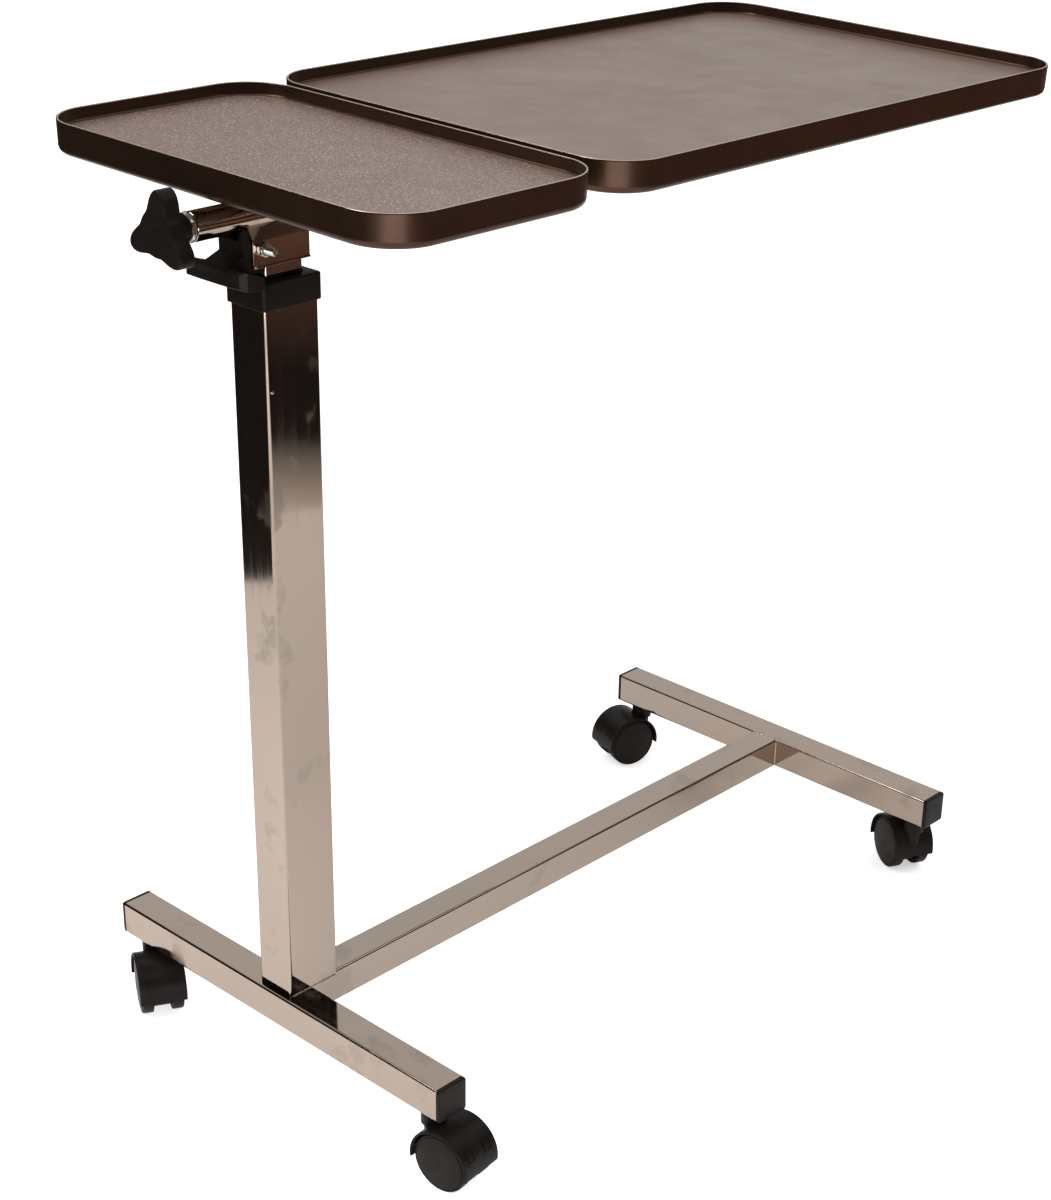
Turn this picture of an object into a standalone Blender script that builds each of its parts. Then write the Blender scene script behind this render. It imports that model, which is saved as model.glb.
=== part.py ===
"""Overbed table: chrome H base on four hooded twin-wheel casters, a gas-sprung telescopic column, a fixed
small tray and a large tray that tilts about a tube under both. Metres, +Z up. X runs along the base beam from
the column to the far foot bar, Y along the foot bars, and Z = 0 is the floor. Every piece hangs on one empty,
which puts the middle of the table's footprint at the origin."""

import math

import bmesh
import bpy

MM = 0.001
GAP = 0.3 * MM  # clearance between pieces that touch

# Footprint centre, measured from the near foot bar's outer side and the beam's centre line
CENTRE_X = 347.65 * MM
CENTRE_Y = -8.86 * MM

# Base
TUBE = 30 * MM
TUBE_WALL = 1.5 * MM
TUBE_CORNER = 2.5 * MM
BAR_UNDERSIDE = 62 * MM
BAR_HALF = 195 * MM
BEAM_LENGTH = 622.7 * MM
BAR_TOP = BAR_UNDERSIDE + TUBE
BAR_MIDDLE = BAR_UNDERSIDE + TUBE / 2
NEAR_BAR_X = TUBE / 2
FAR_BAR_X = TUBE * 1.5 + BEAM_LENGTH
PLUG_FACE = 4 * MM
PLUG_SPIGOT = 16 * MM

# Column and lift tube, rectangular tubes with the long side along X
COLUMN_X = 31.5 * MM
COLUMN_SIZE = (51 * MM, 38 * MM)
COLUMN_TOP = 686.5 * MM
COLLAR_BOTTOM, COLLAR_TOP = 670 * MM, 690 * MM
COLLAR_OVERHANG = 2.2 * MM
COLLAR_PLATE = 3 * MM
SLEEVE_BOTTOM = 648 * MM
LIFT_SIZE = (35 * MM, 24 * MM)
LIFT_WALL = 1.5 * MM
LIFT_BOTTOM, LIFT_TOP = 112 * MM, 716 * MM
GLIDE_BOTTOM, GLIDE_TOP = 114 * MM, 150 * MM

# Lockable gas spring inside the lift tube
CYLINDER_R, CYLINDER_BORE_R = 9 * MM, 7.6 * MM
CYLINDER_BOTTOM, CYLINDER_TOP = 96.6 * MM, 560 * MM
FOOT_PLATE = 4 * MM
ROD_R = 4 * MM
PISTON_R = 7.2 * MM
PISTON_BOTTOM, PISTON_TOP = 103 * MM, 115 * MM
GLAND = 12 * MM
ROD_TOP = 699 * MM
ANCHOR_BOTTOM, ANCHOR_TOP = 684 * MM, 690 * MM
PIN_R = 1.5 * MM
PIN_BOTTOM, PIN_TOP = 680 * MM, 703.7 * MM

# Head: folded saddle bracket, tilt axis and lever
BRACKET_X = (2 * MM, 54 * MM)
SHEET = 2 * MM
BRACKET_BOTTOM, BRACKET_FOLD = 700.5 * MM, 719.5 * MM
AXIS_Z = 735.5 * MM
AXIS_TUBE_R = 11 * MM
AXIS_WALL = 1.5 * MM
SLEEVE_X = (-42.2 * MM, 172 * MM)
WASHER_X = (172.3 * MM, 174.7 * MM)
TILT_TUBE_X = (175 * MM, 736 * MM)
SHAFT_X = (-46.5 * MM, 262 * MM)
SHAFT_R = 9.1 * MM
LEVER_PIVOT = (10 * MM, 714 * MM)
LEVER_BOLT_R = 3 * MM
LEVER_BODY_WIDTH, LEVER_PADDLE_WIDTH, LEVER_TONGUE_WIDTH = 27 * MM, 67 * MM, 12 * MM

# Clamp knob
HEX_X = (-47 * MM, -42.5 * MM)
HEX_FLATS = 21 * MM
KNOB_X = (-71 * MM, -57 * MM)
KNOB_HUB_R = 11 * MM
KNOB_TURN = math.radians(97)  # first lobe, from +Y towards +Z
KNOB_TIP_R = 31 * MM
KNOB_WAIST_R = 15 * MM
STUD_R = 4 * MM

# Trays
TRAY_LEAN = math.radians(0.94)  # both trays are clamped a little off level, the +Y side up
TRAY_TOP = 777.8 * MM
TRAY_HEIGHT = 24.6 * MM
TRAY_HALF = 190.5 * MM
TRAY_CORNER = 42 * MM
SMALL_TRAY_X = (-31.9 * MM, 179.2 * MM)
LARGE_TRAY_X = (187.9 * MM, 766.3 * MM)
TRAY_DEPTH = 10.5 * MM
TRAY_FLOOR = 3.2 * MM
RAIL_SIZE = 17 * MM
RAIL_WALL = 1.2 * MM
RAIL_LENGTH = 300 * MM

# Casters
WHEEL_R = 25.4 * MM
WHEEL_INNER, WHEEL_OUTER = 7.6 * MM, 19.2 * MM
AXLE_R = 3 * MM
AXLE_HALF = 14.5 * MM
CASTER_OFFSET = 20.8 * MM
STEM_INSET = 18.1 * MM
HOOD_R, HOOD_INNER_R, WHEEL_ROOM_R = 29.3 * MM, 26.8 * MM, 26.4 * MM
HOOD_BACK, HOOD_FRONT = -8, 188  # ends of the hood's arc in degrees, from the trailing side
HOOD_HALF = 20.4 * MM
HOOD_WEB = 6.9 * MM
HOOD_CROWN = 2.6 * MM
STEM_R = 5 * MM
STUD_HOLE_R = 4.4 * MM
CASTER_YAW = {"near_left": -119, "near_right": -84, "far_left": 163, "far_right": 62}

CHROME = ("chrome", (0.62, 0.58, 0.55), 0.08, 1.0)
STEEL = ("zinc_steel", (0.55, 0.55, 0.52), 0.3, 1.0)
BLACK = ("black_plastic", (0.02, 0.018, 0.018), 0.45, 0.0)
BROWN = ("brown_tray", (0.055, 0.028, 0.02), 0.32, 0.3)
GUIDE = ("guide_plastic", (0.05, 0.05, 0.05), 0.5, 0.0)
CYLINDER_PAINT = ("cylinder_paint", (0.03, 0.03, 0.03), 0.35, 0.2)

SIDES = {"left": 1, "right": -1}
BAR_PLACES = {"near": NEAR_BAR_X, "far": FAR_BAR_X}


def clear_scene():
    for thing in list(bpy.data.objects):
        bpy.data.objects.remove(thing, do_unlink=True)


def new_collection(name):
    made = bpy.data.collections.new(name)
    bpy.context.scene.collection.children.link(made)
    return made


clear_scene()
TABLE = new_collection("overbed_table")
CUTTERS = new_collection("cutters")
ROOT = bpy.data.objects.new("table_origin", None)
ROOT.location = (-CENTRE_X, -CENTRE_Y, 0)
TABLE.objects.link(ROOT)
TOP = bpy.data.objects.new("tilt_axis", None)
TOP.location = (0, 0, AXIS_Z)
TOP.rotation_euler = (TRAY_LEAN, 0, 0)
TOP.parent = ROOT
TABLE.objects.link(TOP)
MATERIALS = {}


# ---------------------------------------------------------------- helpers


def material(finish):
    name, colour, roughness, metallic = finish
    if name not in MATERIALS:
        made = bpy.data.materials.new(name)
        made.use_nodes = True
        shader = made.node_tree.nodes["Principled BSDF"]
        shader.inputs["Base Color"].default_value = (*colour, 1)
        shader.inputs["Roughness"].default_value = roughness
        shader.inputs["Metallic"].default_value = metallic
        MATERIALS[name] = made
    return MATERIALS[name]


def new_object(name, mesh, finish=None):
    made = bpy.data.objects.new(name, mesh)
    if finish:
        mesh.materials.clear()
        mesh.materials.append(material(finish))
        TABLE.objects.link(made)
        made.parent = ROOT
    else:
        CUTTERS.objects.link(made)
        made.hide_render = True
        made.display_type = "WIRE"
    return made


def evaluated_mesh(thing):
    """The object's mesh with its modifiers applied and loose caps welded."""
    bpy.context.view_layer.update()
    graph = bpy.context.evaluated_depsgraph_get()
    mesh = bpy.data.meshes.new_from_object(thing.evaluated_get(graph))
    work = bmesh.new()
    work.from_mesh(mesh)
    bmesh.ops.remove_doubles(work, verts=work.verts, dist=1e-6)
    bmesh.ops.recalc_face_normals(work, faces=work.faces)
    work.to_mesh(mesh)
    work.free()
    return mesh


def shade(mesh):
    mesh.shade_smooth()
    mesh.set_sharp_from_angle(angle=math.radians(35))
    return mesh


def rounded_rectangle(width, depth, radius, steps=3):
    """Corners of a rectangle centred on the origin, with round corners."""
    points = []
    for quarter in range(4):
        turn = quarter * math.pi / 2
        sign_x = 1 if quarter in (0, 3) else -1
        sign_y = 1 if quarter in (0, 1) else -1
        centre = (sign_x * (width / 2 - radius), sign_y * (depth / 2 - radius))
        for step in range(steps + 1):
            angle = turn + step / steps * math.pi / 2
            points.append((centre[0] + radius * math.cos(angle), centre[1] + radius * math.sin(angle)))
    return points


def circle(radius, steps=24, centre=(0, 0)):
    turns = [2 * math.pi * step / steps for step in range(steps)]
    return [(centre[0] + radius * math.cos(turn), centre[1] + radius * math.sin(turn)) for turn in turns]


def prism_mesh(outlines, length):
    """A flat outline, with holes if more than one is given, extruded along Z and centred on it."""
    curve = bpy.data.curves.new("outline", "CURVE")
    curve.dimensions = "2D"
    curve.fill_mode = "BOTH"
    curve.extrude = length / 2
    for outline in outlines:
        spline = curve.splines.new("POLY")
        spline.points.add(len(outline) - 1)
        for point, place in zip(spline.points, outline):
            point.co = (*place, 0, 1)
        spline.use_cyclic_u = True
    holder = bpy.data.objects.new("outline", curve)
    CUTTERS.objects.link(holder)
    mesh = evaluated_mesh(holder)
    bpy.data.objects.remove(holder, do_unlink=True)
    bpy.data.curves.remove(curve)
    return shade(mesh)


def prism(name, outlines, length, location, rotation=(0, 0, 0), finish=None):
    made = new_object(name, prism_mesh(outlines, length), finish)
    made.location = location
    made.rotation_euler = rotation
    return made


ALONG_X = (math.pi / 2, 0, math.pi / 2)  # outline X to world Y, outline Y to world Z
ALONG_Y = (math.pi / 2, 0, 0)  # outline X to world X, outline Y to world Z


def rectangular_tube(size, corner, wall):
    inner = (size[0] - 2 * wall, size[1] - 2 * wall)
    return [
        rounded_rectangle(*size, corner),
        rounded_rectangle(*inner, max(corner - wall, 0.4 * MM)),
    ]


def cylinder(name, radius, length, location, rotation=(0, 0, 0), finish=None, steps=24):
    return prism(name, [circle(radius, steps)], length, location, rotation, finish)


def turned(name, profile, location, rotation, finish, steps=32):
    """A turned piece about Z: the profile's (radius, height) points run down its outer side."""
    mesh = bpy.data.meshes.new(name)
    work = bmesh.new()
    points = [work.verts.new((radius, 0, height)) for radius, height in profile]
    for start, end in zip(points, points[1:]):
        work.edges.new((start, end))
    work.to_mesh(mesh)
    work.free()
    made = new_object(name, mesh, finish)
    screw = made.modifiers.new("turn", "SCREW")
    screw.steps = steps
    screw.render_steps = steps
    screw.use_merge_vertices = True
    screw.merge_threshold = 0.00001
    screw.use_smooth_shade = True
    made.location = location
    made.rotation_euler = rotation
    return made


def boolean(thing, other, operation):
    modifier = thing.modifiers.new(operation.lower(), "BOOLEAN")
    modifier.operation = operation
    modifier.object = other


def cut(thing, *cutters):
    for cutter in cutters:
        boolean(thing, cutter, "DIFFERENCE")


def join(thing, *others):
    for other in others:
        boolean(thing, other, "UNION")


def bevel(thing, width, segments=2, angle=40):
    modifier = thing.modifiers.new("edges", "BEVEL")
    modifier.width = width
    modifier.segments = segments
    modifier.limit_method = "ANGLE"
    modifier.angle_limit = math.radians(angle)


def place_cutter(thing):
    """Cutters hang on the same empty as the pieces they cut."""
    thing.parent = ROOT
    return thing


# ---------------------------------------------------------------- base


def foot_bar(place, x):
    bar = prism(
        f"{place}_foot_bar",
        rectangular_tube((TUBE, TUBE), TUBE_CORNER, TUBE_WALL),
        2 * BAR_HALF,
        (x, 0, BAR_MIDDLE),
        ALONG_Y,
        CHROME,
    )
    for side, sign in SIDES.items():
        hole = cylinder(
            f"{place}_{side}_stem_hole",
            STUD_HOLE_R,
            6 * MM,
            (x, sign * (BAR_HALF - STEM_INSET), BAR_UNDERSIDE),
            steps=16,
        )
        cut(bar, place_cutter(hole))


def end_plug(place, side, x, sign):
    """Chamfered cap with a spigot inside the tube's end; the spigot is open towards the tube."""
    face = prism(
        f"{place}_{side}_end_plug",
        [rounded_rectangle(TUBE, TUBE, TUBE_CORNER)],
        PLUG_FACE - GAP,
        (x, sign * (BAR_HALF + (PLUG_FACE + GAP) / 2), BAR_MIDDLE),
        ALONG_Y,
        BLACK,
    )
    bevel(face, 1.2 * MM)
    spigot_size = TUBE - 2 * TUBE_WALL - 2 * GAP
    spigot = prism(
        f"{place}_{side}_spigot",
        [
            rounded_rectangle(spigot_size, spigot_size, 0.8 * MM, 2),
            rounded_rectangle(22 * MM, 22 * MM, 0.8 * MM, 2),
        ],
        PLUG_SPIGOT,
        (x, sign * (BAR_HALF + 1.5 * MM - PLUG_SPIGOT / 2), BAR_MIDDLE),
        ALONG_Y,
    )
    stem_slot = cylinder(
        f"{place}_{side}_spigot_slot",
        9 * MM,
        40 * MM,
        (x, sign * (BAR_HALF - STEM_INSET), BAR_MIDDLE - 20 * MM),
        steps=16,
    )
    join(face, place_cutter(spigot))
    cut(face, place_cutter(stem_slot))


def base():
    for place, x in BAR_PLACES.items():
        foot_bar(place, x)
        for side, sign in SIDES.items():
            end_plug(place, side, x, sign)
    prism(
        "base_beam",
        rectangular_tube((TUBE, TUBE), TUBE_CORNER, TUBE_WALL),
        BEAM_LENGTH - 2 * GAP,
        (TUBE + BEAM_LENGTH / 2, 0, BAR_MIDDLE),
        ALONG_X,
        CHROME,
    )


# ---------------------------------------------------------------- column


def column():
    prism(
        "column_tube",
        rectangular_tube(COLUMN_SIZE, TUBE_CORNER, TUBE_WALL),
        COLUMN_TOP - BAR_TOP - GAP,
        (COLUMN_X, 0, (COLUMN_TOP + BAR_TOP + GAP) / 2),
        finish=CHROME,
    )
    bore = [side + 2 * GAP for side in LIFT_SIZE]
    outer = [side + 2 * COLLAR_OVERHANG for side in COLUMN_SIZE]
    inside = [side - 2 * TUBE_WALL - 2 * GAP for side in COLUMN_SIZE]
    around = [side + 2 * GAP for side in COLUMN_SIZE]
    collar = prism(
        "column_collar",
        [rounded_rectangle(*outer, 3 * MM), rounded_rectangle(*bore, 2 * MM)],
        COLLAR_PLATE,
        (COLUMN_X, 0, COLLAR_TOP - COLLAR_PLATE / 2),
        finish=BLACK,
    )
    skirt = prism(
        "collar_skirt",
        [rounded_rectangle(*outer, 3 * MM), rounded_rectangle(*around, 2.6 * MM)],
        COLLAR_TOP - COLLAR_BOTTOM - 1 * MM,
        (COLUMN_X, 0, (COLLAR_TOP + COLLAR_BOTTOM - 1 * MM) / 2),
    )
    sleeve = prism(
        "collar_sleeve",
        [rounded_rectangle(*inside, 1 * MM), rounded_rectangle(*bore, 2 * MM)],
        COLLAR_TOP - SLEEVE_BOTTOM - 1 * MM,
        (COLUMN_X, 0, (COLLAR_TOP + SLEEVE_BOTTOM - 1 * MM) / 2),
    )
    join(collar, place_cutter(skirt), place_cutter(sleeve))


def gas_spring_housing():
    inside = [side - 2 * TUBE_WALL - 2 * GAP for side in COLUMN_SIZE]
    prism(
        "gas_spring_foot",
        [rounded_rectangle(*inside, 1 * MM)],
        FOOT_PLATE,
        (COLUMN_X, 0, BAR_TOP + GAP + FOOT_PLATE / 2),
        finish=STEEL,
    )
    floor = CYLINDER_BOTTOM + 4 * MM
    turned(
        "gas_cylinder",
        [
            (ROD_R + GAP, CYLINDER_TOP),
            (CYLINDER_R - 1 * MM, CYLINDER_TOP),
            (CYLINDER_R, CYLINDER_TOP - 1 * MM),
            (CYLINDER_R, CYLINDER_BOTTOM),
            (0, CYLINDER_BOTTOM),
            (0, floor),
            (CYLINDER_BORE_R, floor),
            (CYLINDER_BORE_R, CYLINDER_TOP - GLAND),
            (ROD_R + GAP, CYLINDER_TOP - GLAND),
            (ROD_R + GAP, CYLINDER_TOP),
        ],
        (COLUMN_X, 0, 0),
        (0, 0, 0),
        CYLINDER_PAINT,
        20,
    )


def gas_rod():
    bore = PIN_R + GAP
    turned(
        "gas_rod",
        [
            (bore, ROD_TOP),
            (ROD_R, ROD_TOP),
            (ROD_R, PISTON_TOP),
            (PISTON_R, PISTON_TOP),
            (PISTON_R, PISTON_BOTTOM),
            (0, PISTON_BOTTOM),
            (0, PIN_BOTTOM - 5 * MM),
            (bore, PIN_BOTTOM - 5 * MM),
            (bore, ROD_TOP),
        ],
        (COLUMN_X, 0, 0),
        (0, 0, 0),
        STEEL,
        16,
    )
    turned(
        "release_pin",
        [(0, PIN_TOP), (PIN_R, PIN_TOP - 0.5 * MM), (PIN_R, PIN_BOTTOM), (0, PIN_BOTTOM)],
        (COLUMN_X, 0, 0),
        (0, 0, 0),
        STEEL,
        12,
    )


def lift_tube():
    tube = prism(
        "lift_tube",
        rectangular_tube(LIFT_SIZE, 2 * MM, LIFT_WALL),
        LIFT_TOP - LIFT_BOTTOM,
        (COLUMN_X, 0, (LIFT_TOP + LIFT_BOTTOM) / 2),
        finish=CHROME,
    )
    notch = prism(
        "lever_notch",
        [rounded_rectangle(12 * MM, 15 * MM, 1 * MM, 2)],
        40 * MM,
        (COLUMN_X - LIFT_SIZE[0] / 2, 0, 703 * MM + 20 * MM),
    )
    cut(tube, place_cutter(notch))
    inside = [side - 2 * TUBE_WALL - 2 * GAP for side in COLUMN_SIZE]
    bore = [side + 2 * GAP for side in LIFT_SIZE]
    prism(
        "lower_glide",
        [rounded_rectangle(*inside, 1 * MM), rounded_rectangle(*bore, 2 * MM)],
        GLIDE_TOP - GLIDE_BOTTOM,
        (COLUMN_X, 0, (GLIDE_TOP + GLIDE_BOTTOM) / 2),
        finish=GUIDE,
    )
    anchor = [side - 2 * LIFT_WALL - 2 * GAP for side in LIFT_SIZE]
    prism(
        "rod_anchor",
        [rounded_rectangle(*anchor, 1 * MM), circle(ROD_R + GAP, 16)],
        ANCHOR_TOP - ANCHOR_BOTTOM,
        (COLUMN_X, 0, (ANCHOR_TOP + ANCHOR_BOTTOM) / 2),
        finish=STEEL,
    )


# ---------------------------------------------------------------- head


def saddle_outline():
    """Cross-section of the folded sheet: side plate, slope, cradle under the tube, slope, side plate."""
    side = LIFT_SIZE[1] / 2 + GAP
    cradle = AXIS_TUBE_R + GAP
    lip = math.radians(-28)
    turns = [lip + (math.pi * -1 - 2 * lip) * step / 12 for step in range(13)]
    inner = [(cradle * math.cos(turn), AXIS_Z + cradle * math.sin(turn)) for turn in turns]
    outer_r = cradle + SHEET
    under = [math.radians(-58) + math.radians(-64) * step / 6 for step in range(7)]
    below = [(outer_r * math.cos(turn), AXIS_Z + outer_r * math.sin(turn)) for turn in reversed(under)]
    outline = [
        (side + SHEET, BRACKET_BOTTOM),
        (side + SHEET, BRACKET_FOLD),
        *inner,
        (-side - SHEET, BRACKET_FOLD),
        (-side - SHEET, BRACKET_BOTTOM),
        (-side, BRACKET_BOTTOM),
        (-side, BRACKET_FOLD - 1 * MM),
        *below,
        (side, BRACKET_FOLD - 1 * MM),
        (side, BRACKET_BOTTOM),
    ]
    return outline


def head_bracket():
    start, end = BRACKET_X
    bracket = prism(
        "head_bracket",
        [saddle_outline()],
        end - start,
        ((start + end) / 2, 0, 0),
        ALONG_X,
        CHROME,
    )
    hole = cylinder(
        "lever_bolt_hole",
        LEVER_BOLT_R + GAP,
        60 * MM,
        (LEVER_PIVOT[0], 0, LEVER_PIVOT[1]),
        ALONG_Y,
        steps=16,
    )
    cut(bracket, place_cutter(hole))


def hexagon(flats):
    return circle(flats / math.sqrt(3), 6)


def lever_bolt():
    """Bolt that carries the lever, head on the far side and a nut on the near side."""
    x, z = LEVER_PIVOT
    side = LIFT_SIZE[1] / 2 + GAP + SHEET + GAP
    near_end = -28.5 * MM
    bolt = cylinder(
        "lever_bolt",
        LEVER_BOLT_R,
        side + 2 * MM - near_end,
        (x, (side + 2 * MM + near_end) / 2, z),
        ALONG_Y,
        STEEL,
        16,
    )
    head = prism(
        "lever_bolt_head",
        [hexagon(10 * MM)],
        4 * MM,
        (x, side + 2 * MM, z),
        ALONG_Y,
    )
    join(bolt, place_cutter(head))
    prism(
        "lever_nut",
        [hexagon(10 * MM), circle(LEVER_BOLT_R + GAP, 16)],
        5 * MM,
        (x, -side - 2.5 * MM, z),
        ALONG_Y,
        finish=STEEL,
    )


def side_prism(name, outline, width, finish=None):
    """A side view in millimetres, extruded along Y and centred on the table's middle plane."""
    in_metres = [(x * MM, z * MM) for x, z in outline]
    return prism(name, [in_metres], width, (0, 0, 0), ALONG_Y, finish)


def bowed_outline(reach, half, radius):
    """Plan of the paddle from its root, given in millimetres: its outer edge is bowed to the radius."""
    places = [half * step / 8 for step in range(-7, 8)]
    edge = [(-reach + place**2 / (2 * radius), place) for place in places]
    corner = -reach + half**2 / (2 * radius) + 3
    outline = [(5, -half), (5, half), (corner, half), *reversed(edge), (corner, -half)]
    return [(x * MM, y * MM) for x, y in reversed(outline)]


def height_lever():
    """Wide paddle outside the bracket, a body with two horns by the tilt tube, and a tongue over the pin."""
    body_side = [(-20, 700), (-2, 694), (1.4, 702.5), (0.6, 718), (-1, 727), (-3, 729), (-5, 729), (-6, 726),
                 (-6, 711), (-20, 705.6)]
    paddle_side = [(-27, 694.5), (-20, 692), (-4, 690.6), (-4, 700), (-12, 702), (-20, 706), (-25, 704),
                   (-27, 701)]
    tongue_side = [(-6, 704.5), (12, 704.5), (20, 705.8), (28, 704), (36, 704), (36, 709), (20, 714),
                   (15, 719.5), (5, 719.5), (-6, 717)]
    body = side_prism("height_lever", body_side, LEVER_BODY_WIDTH, BLACK)
    paddle = side_prism("lever_paddle", paddle_side, LEVER_PADDLE_WIDTH)
    plan = prism(
        "paddle_plan",
        [bowed_outline(27.4, LEVER_PADDLE_WIDTH / MM / 2 - 0.3, 110)],
        40 * MM,
        (0, 0, 700 * MM),
    )
    boolean(paddle, place_cutter(plan), "INTERSECT")
    bevel(paddle, 1.2 * MM, 2, 50)
    tongue = side_prism("lever_tongue", tongue_side, LEVER_TONGUE_WIDTH)
    groove_r = AXIS_TUBE_R + 1 * MM
    groove = prism(
        "lever_groove",
        [[(-groove_r, 728 * MM), (-7 * MM, 720.5 * MM), (7 * MM, 720.5 * MM), (groove_r, 728 * MM),
          (groove_r, 740 * MM), (-groove_r, 740 * MM)]],
        60 * MM,
        (0, 0, 0),
        ALONG_X,
    )
    pivot = cylinder(
        "lever_pivot_bore",
        LEVER_BOLT_R + GAP,
        60 * MM,
        (LEVER_PIVOT[0], 0, LEVER_PIVOT[1]),
        ALONG_Y,
        steps=16,
    )
    cut(body, place_cutter(groove))
    cut(tongue, place_cutter(pivot))
    join(body, place_cutter(paddle), place_cutter(tongue))


def span(name, outlines, ends, finish):
    """A prism along X about the tilt axis, between two X values."""
    return prism(name, outlines, ends[1] - ends[0], ((ends[0] + ends[1]) / 2, 0, AXIS_Z), ALONG_X, finish)


def tilt_axis():
    ring = [circle(AXIS_TUBE_R, 32), circle(AXIS_TUBE_R - AXIS_WALL, 32)]
    span("tilt_sleeve", ring, SLEEVE_X, CHROME)
    span("tilt_tube", ring, TILT_TUBE_X, CHROME)
    span("friction_washer", [circle(12 * MM, 32), circle(SHAFT_R + GAP, 32)], WASHER_X, STEEL)
    shaft = span("tilt_shaft", [circle(SHAFT_R, 32)], SHAFT_X, STEEL)
    bore = cylinder(
        "stud_bore",
        STUD_R + GAP,
        50 * MM,
        (SHAFT_X[0] + 20 * MM, 0, AXIS_Z),
        ALONG_X,
        steps=16,
    )
    cut(shaft, place_cutter(bore))
    span("tilt_end_nut", [hexagon(HEX_FLATS), circle(SHAFT_R + GAP, 32)], HEX_X, STEEL)
    cap_face = (TILT_TUBE_X[1] + GAP, TILT_TUBE_X[1] + 2.3 * MM)
    cap = span("tilt_tube_cap", [circle(AXIS_TUBE_R, 32)], cap_face, BLACK)
    spigot_ends = (TILT_TUBE_X[1] - 12 * MM, TILT_TUBE_X[1] + 1 * MM)
    spigot = span("cap_spigot", [circle(AXIS_TUBE_R - AXIS_WALL - GAP, 32)], spigot_ends, None)
    join(cap, place_cutter(spigot))


def lobed_outline(tip, waist, turn_of_lobe, steps=12):
    """Three rounded lobes with concave sides between them."""
    points = []
    count = 3 * steps
    for step in range(count):
        turn = 2 * math.pi * step / count
        lobe = (1 + math.cos(3 * (turn - turn_of_lobe))) / 2
        radius = waist + (tip - waist) * lobe**2
        points.append((radius * math.cos(turn), radius * math.sin(turn)))
    return points


def knob():
    lobes = span("tilt_knob", [lobed_outline(KNOB_TIP_R, KNOB_WAIST_R, KNOB_TURN)], KNOB_X, BLACK)
    bevel(lobes, 2.5 * MM, 2)
    hub_ends = (KNOB_X[1] - 3 * MM, HEX_X[0] - GAP)
    hub = span("knob_hub", [circle(KNOB_HUB_R, 32)], hub_ends, None)
    join(lobes, place_cutter(hub))
    bore_ends = (KNOB_X[0] + 8 * MM, HEX_X[0] + 5 * MM)
    bore = span("knob_bore", [circle(STUD_R + GAP, 16)], bore_ends, None)
    cut(lobes, place_cutter(bore))
    span("knob_stud", [circle(STUD_R, 16)], (KNOB_X[0] + 9 * MM, SHAFT_X[0] + 36 * MM), STEEL)


# ---------------------------------------------------------------- trays


def tray_mesh(width):
    """Rings of one rounded rectangle, from the underside's middle out, up the wall, and in over the floor."""
    low = TRAY_TOP - TRAY_HEIGHT
    floor_top = TRAY_TOP - TRAY_DEPTH
    floor_under = floor_top - TRAY_FLOOR
    rings = [
        (6.5, floor_under),
        (5.6, floor_under - 1.2 * MM),
        (5.2, low),
        (4.0, low),
        (1.6, low + 1.8 * MM),
        (0.6, low + 6 * MM),
        (0, TRAY_TOP - 1 * MM),
        (0.5, TRAY_TOP),
        (2.2, TRAY_TOP),
        (2.7, TRAY_TOP - 0.8 * MM),
        (3.6, floor_top + 2 * MM),
        (5.4, floor_top),
    ]
    work = bmesh.new()
    loops = []
    for inset, height in rings:
        shrink = 2 * inset * MM
        outline = rounded_rectangle(width - shrink, 2 * TRAY_HALF - shrink, TRAY_CORNER - inset * MM, 6)
        loops.append([work.verts.new((x, y, height)) for x, y in outline])
    for inner, outer in zip(loops, loops[1:]):
        for index in range(len(inner)):
            after = (index + 1) % len(inner)
            work.faces.new((inner[index], inner[after], outer[after], outer[index]))
    work.faces.new(loops[0])
    work.faces.new(loops[-1])
    bmesh.ops.recalc_face_normals(work, faces=work.faces)
    mesh = bpy.data.meshes.new("tray")
    work.to_mesh(mesh)
    work.free()
    return shade(mesh)


def tray(name, ends):
    made = new_object(name, tray_mesh(ends[1] - ends[0]), BROWN)
    made.location = ((ends[0] + ends[1]) / 2, 0, -AXIS_Z)
    made.parent = TOP


def tray_rail(name, x):
    """Square tube under a tray, welded across the tilt axis's tube and screwed to the tray."""
    rail = prism(
        name,
        rectangular_tube((RAIL_SIZE, RAIL_SIZE), 1.5 * MM, RAIL_WALL),
        RAIL_LENGTH,
        (x, 0, AXIS_TUBE_R + GAP + RAIL_SIZE / 2),
        ALONG_Y,
        CHROME,
    )
    rail.parent = TOP


def trays():
    tray("small_tray", SMALL_TRAY_X)
    tray("large_tray", LARGE_TRAY_X)
    tray_rail("small_tray_rail_a", 30 * MM)
    tray_rail("small_tray_rail_b", 135 * MM)
    tray_rail("large_tray_rail_a", 250 * MM)
    tray_rail("large_tray_rail_b", 475 * MM)
    tray_rail("large_tray_rail_c", 700 * MM)


# ---------------------------------------------------------------- casters


def sector(radius, start, end, steps=14):
    turns = [math.radians(start + (end - start) * step / steps) for step in range(steps + 1)]
    return [(radius * math.cos(turn), WHEEL_R + radius * math.sin(turn)) for turn in turns]


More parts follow.
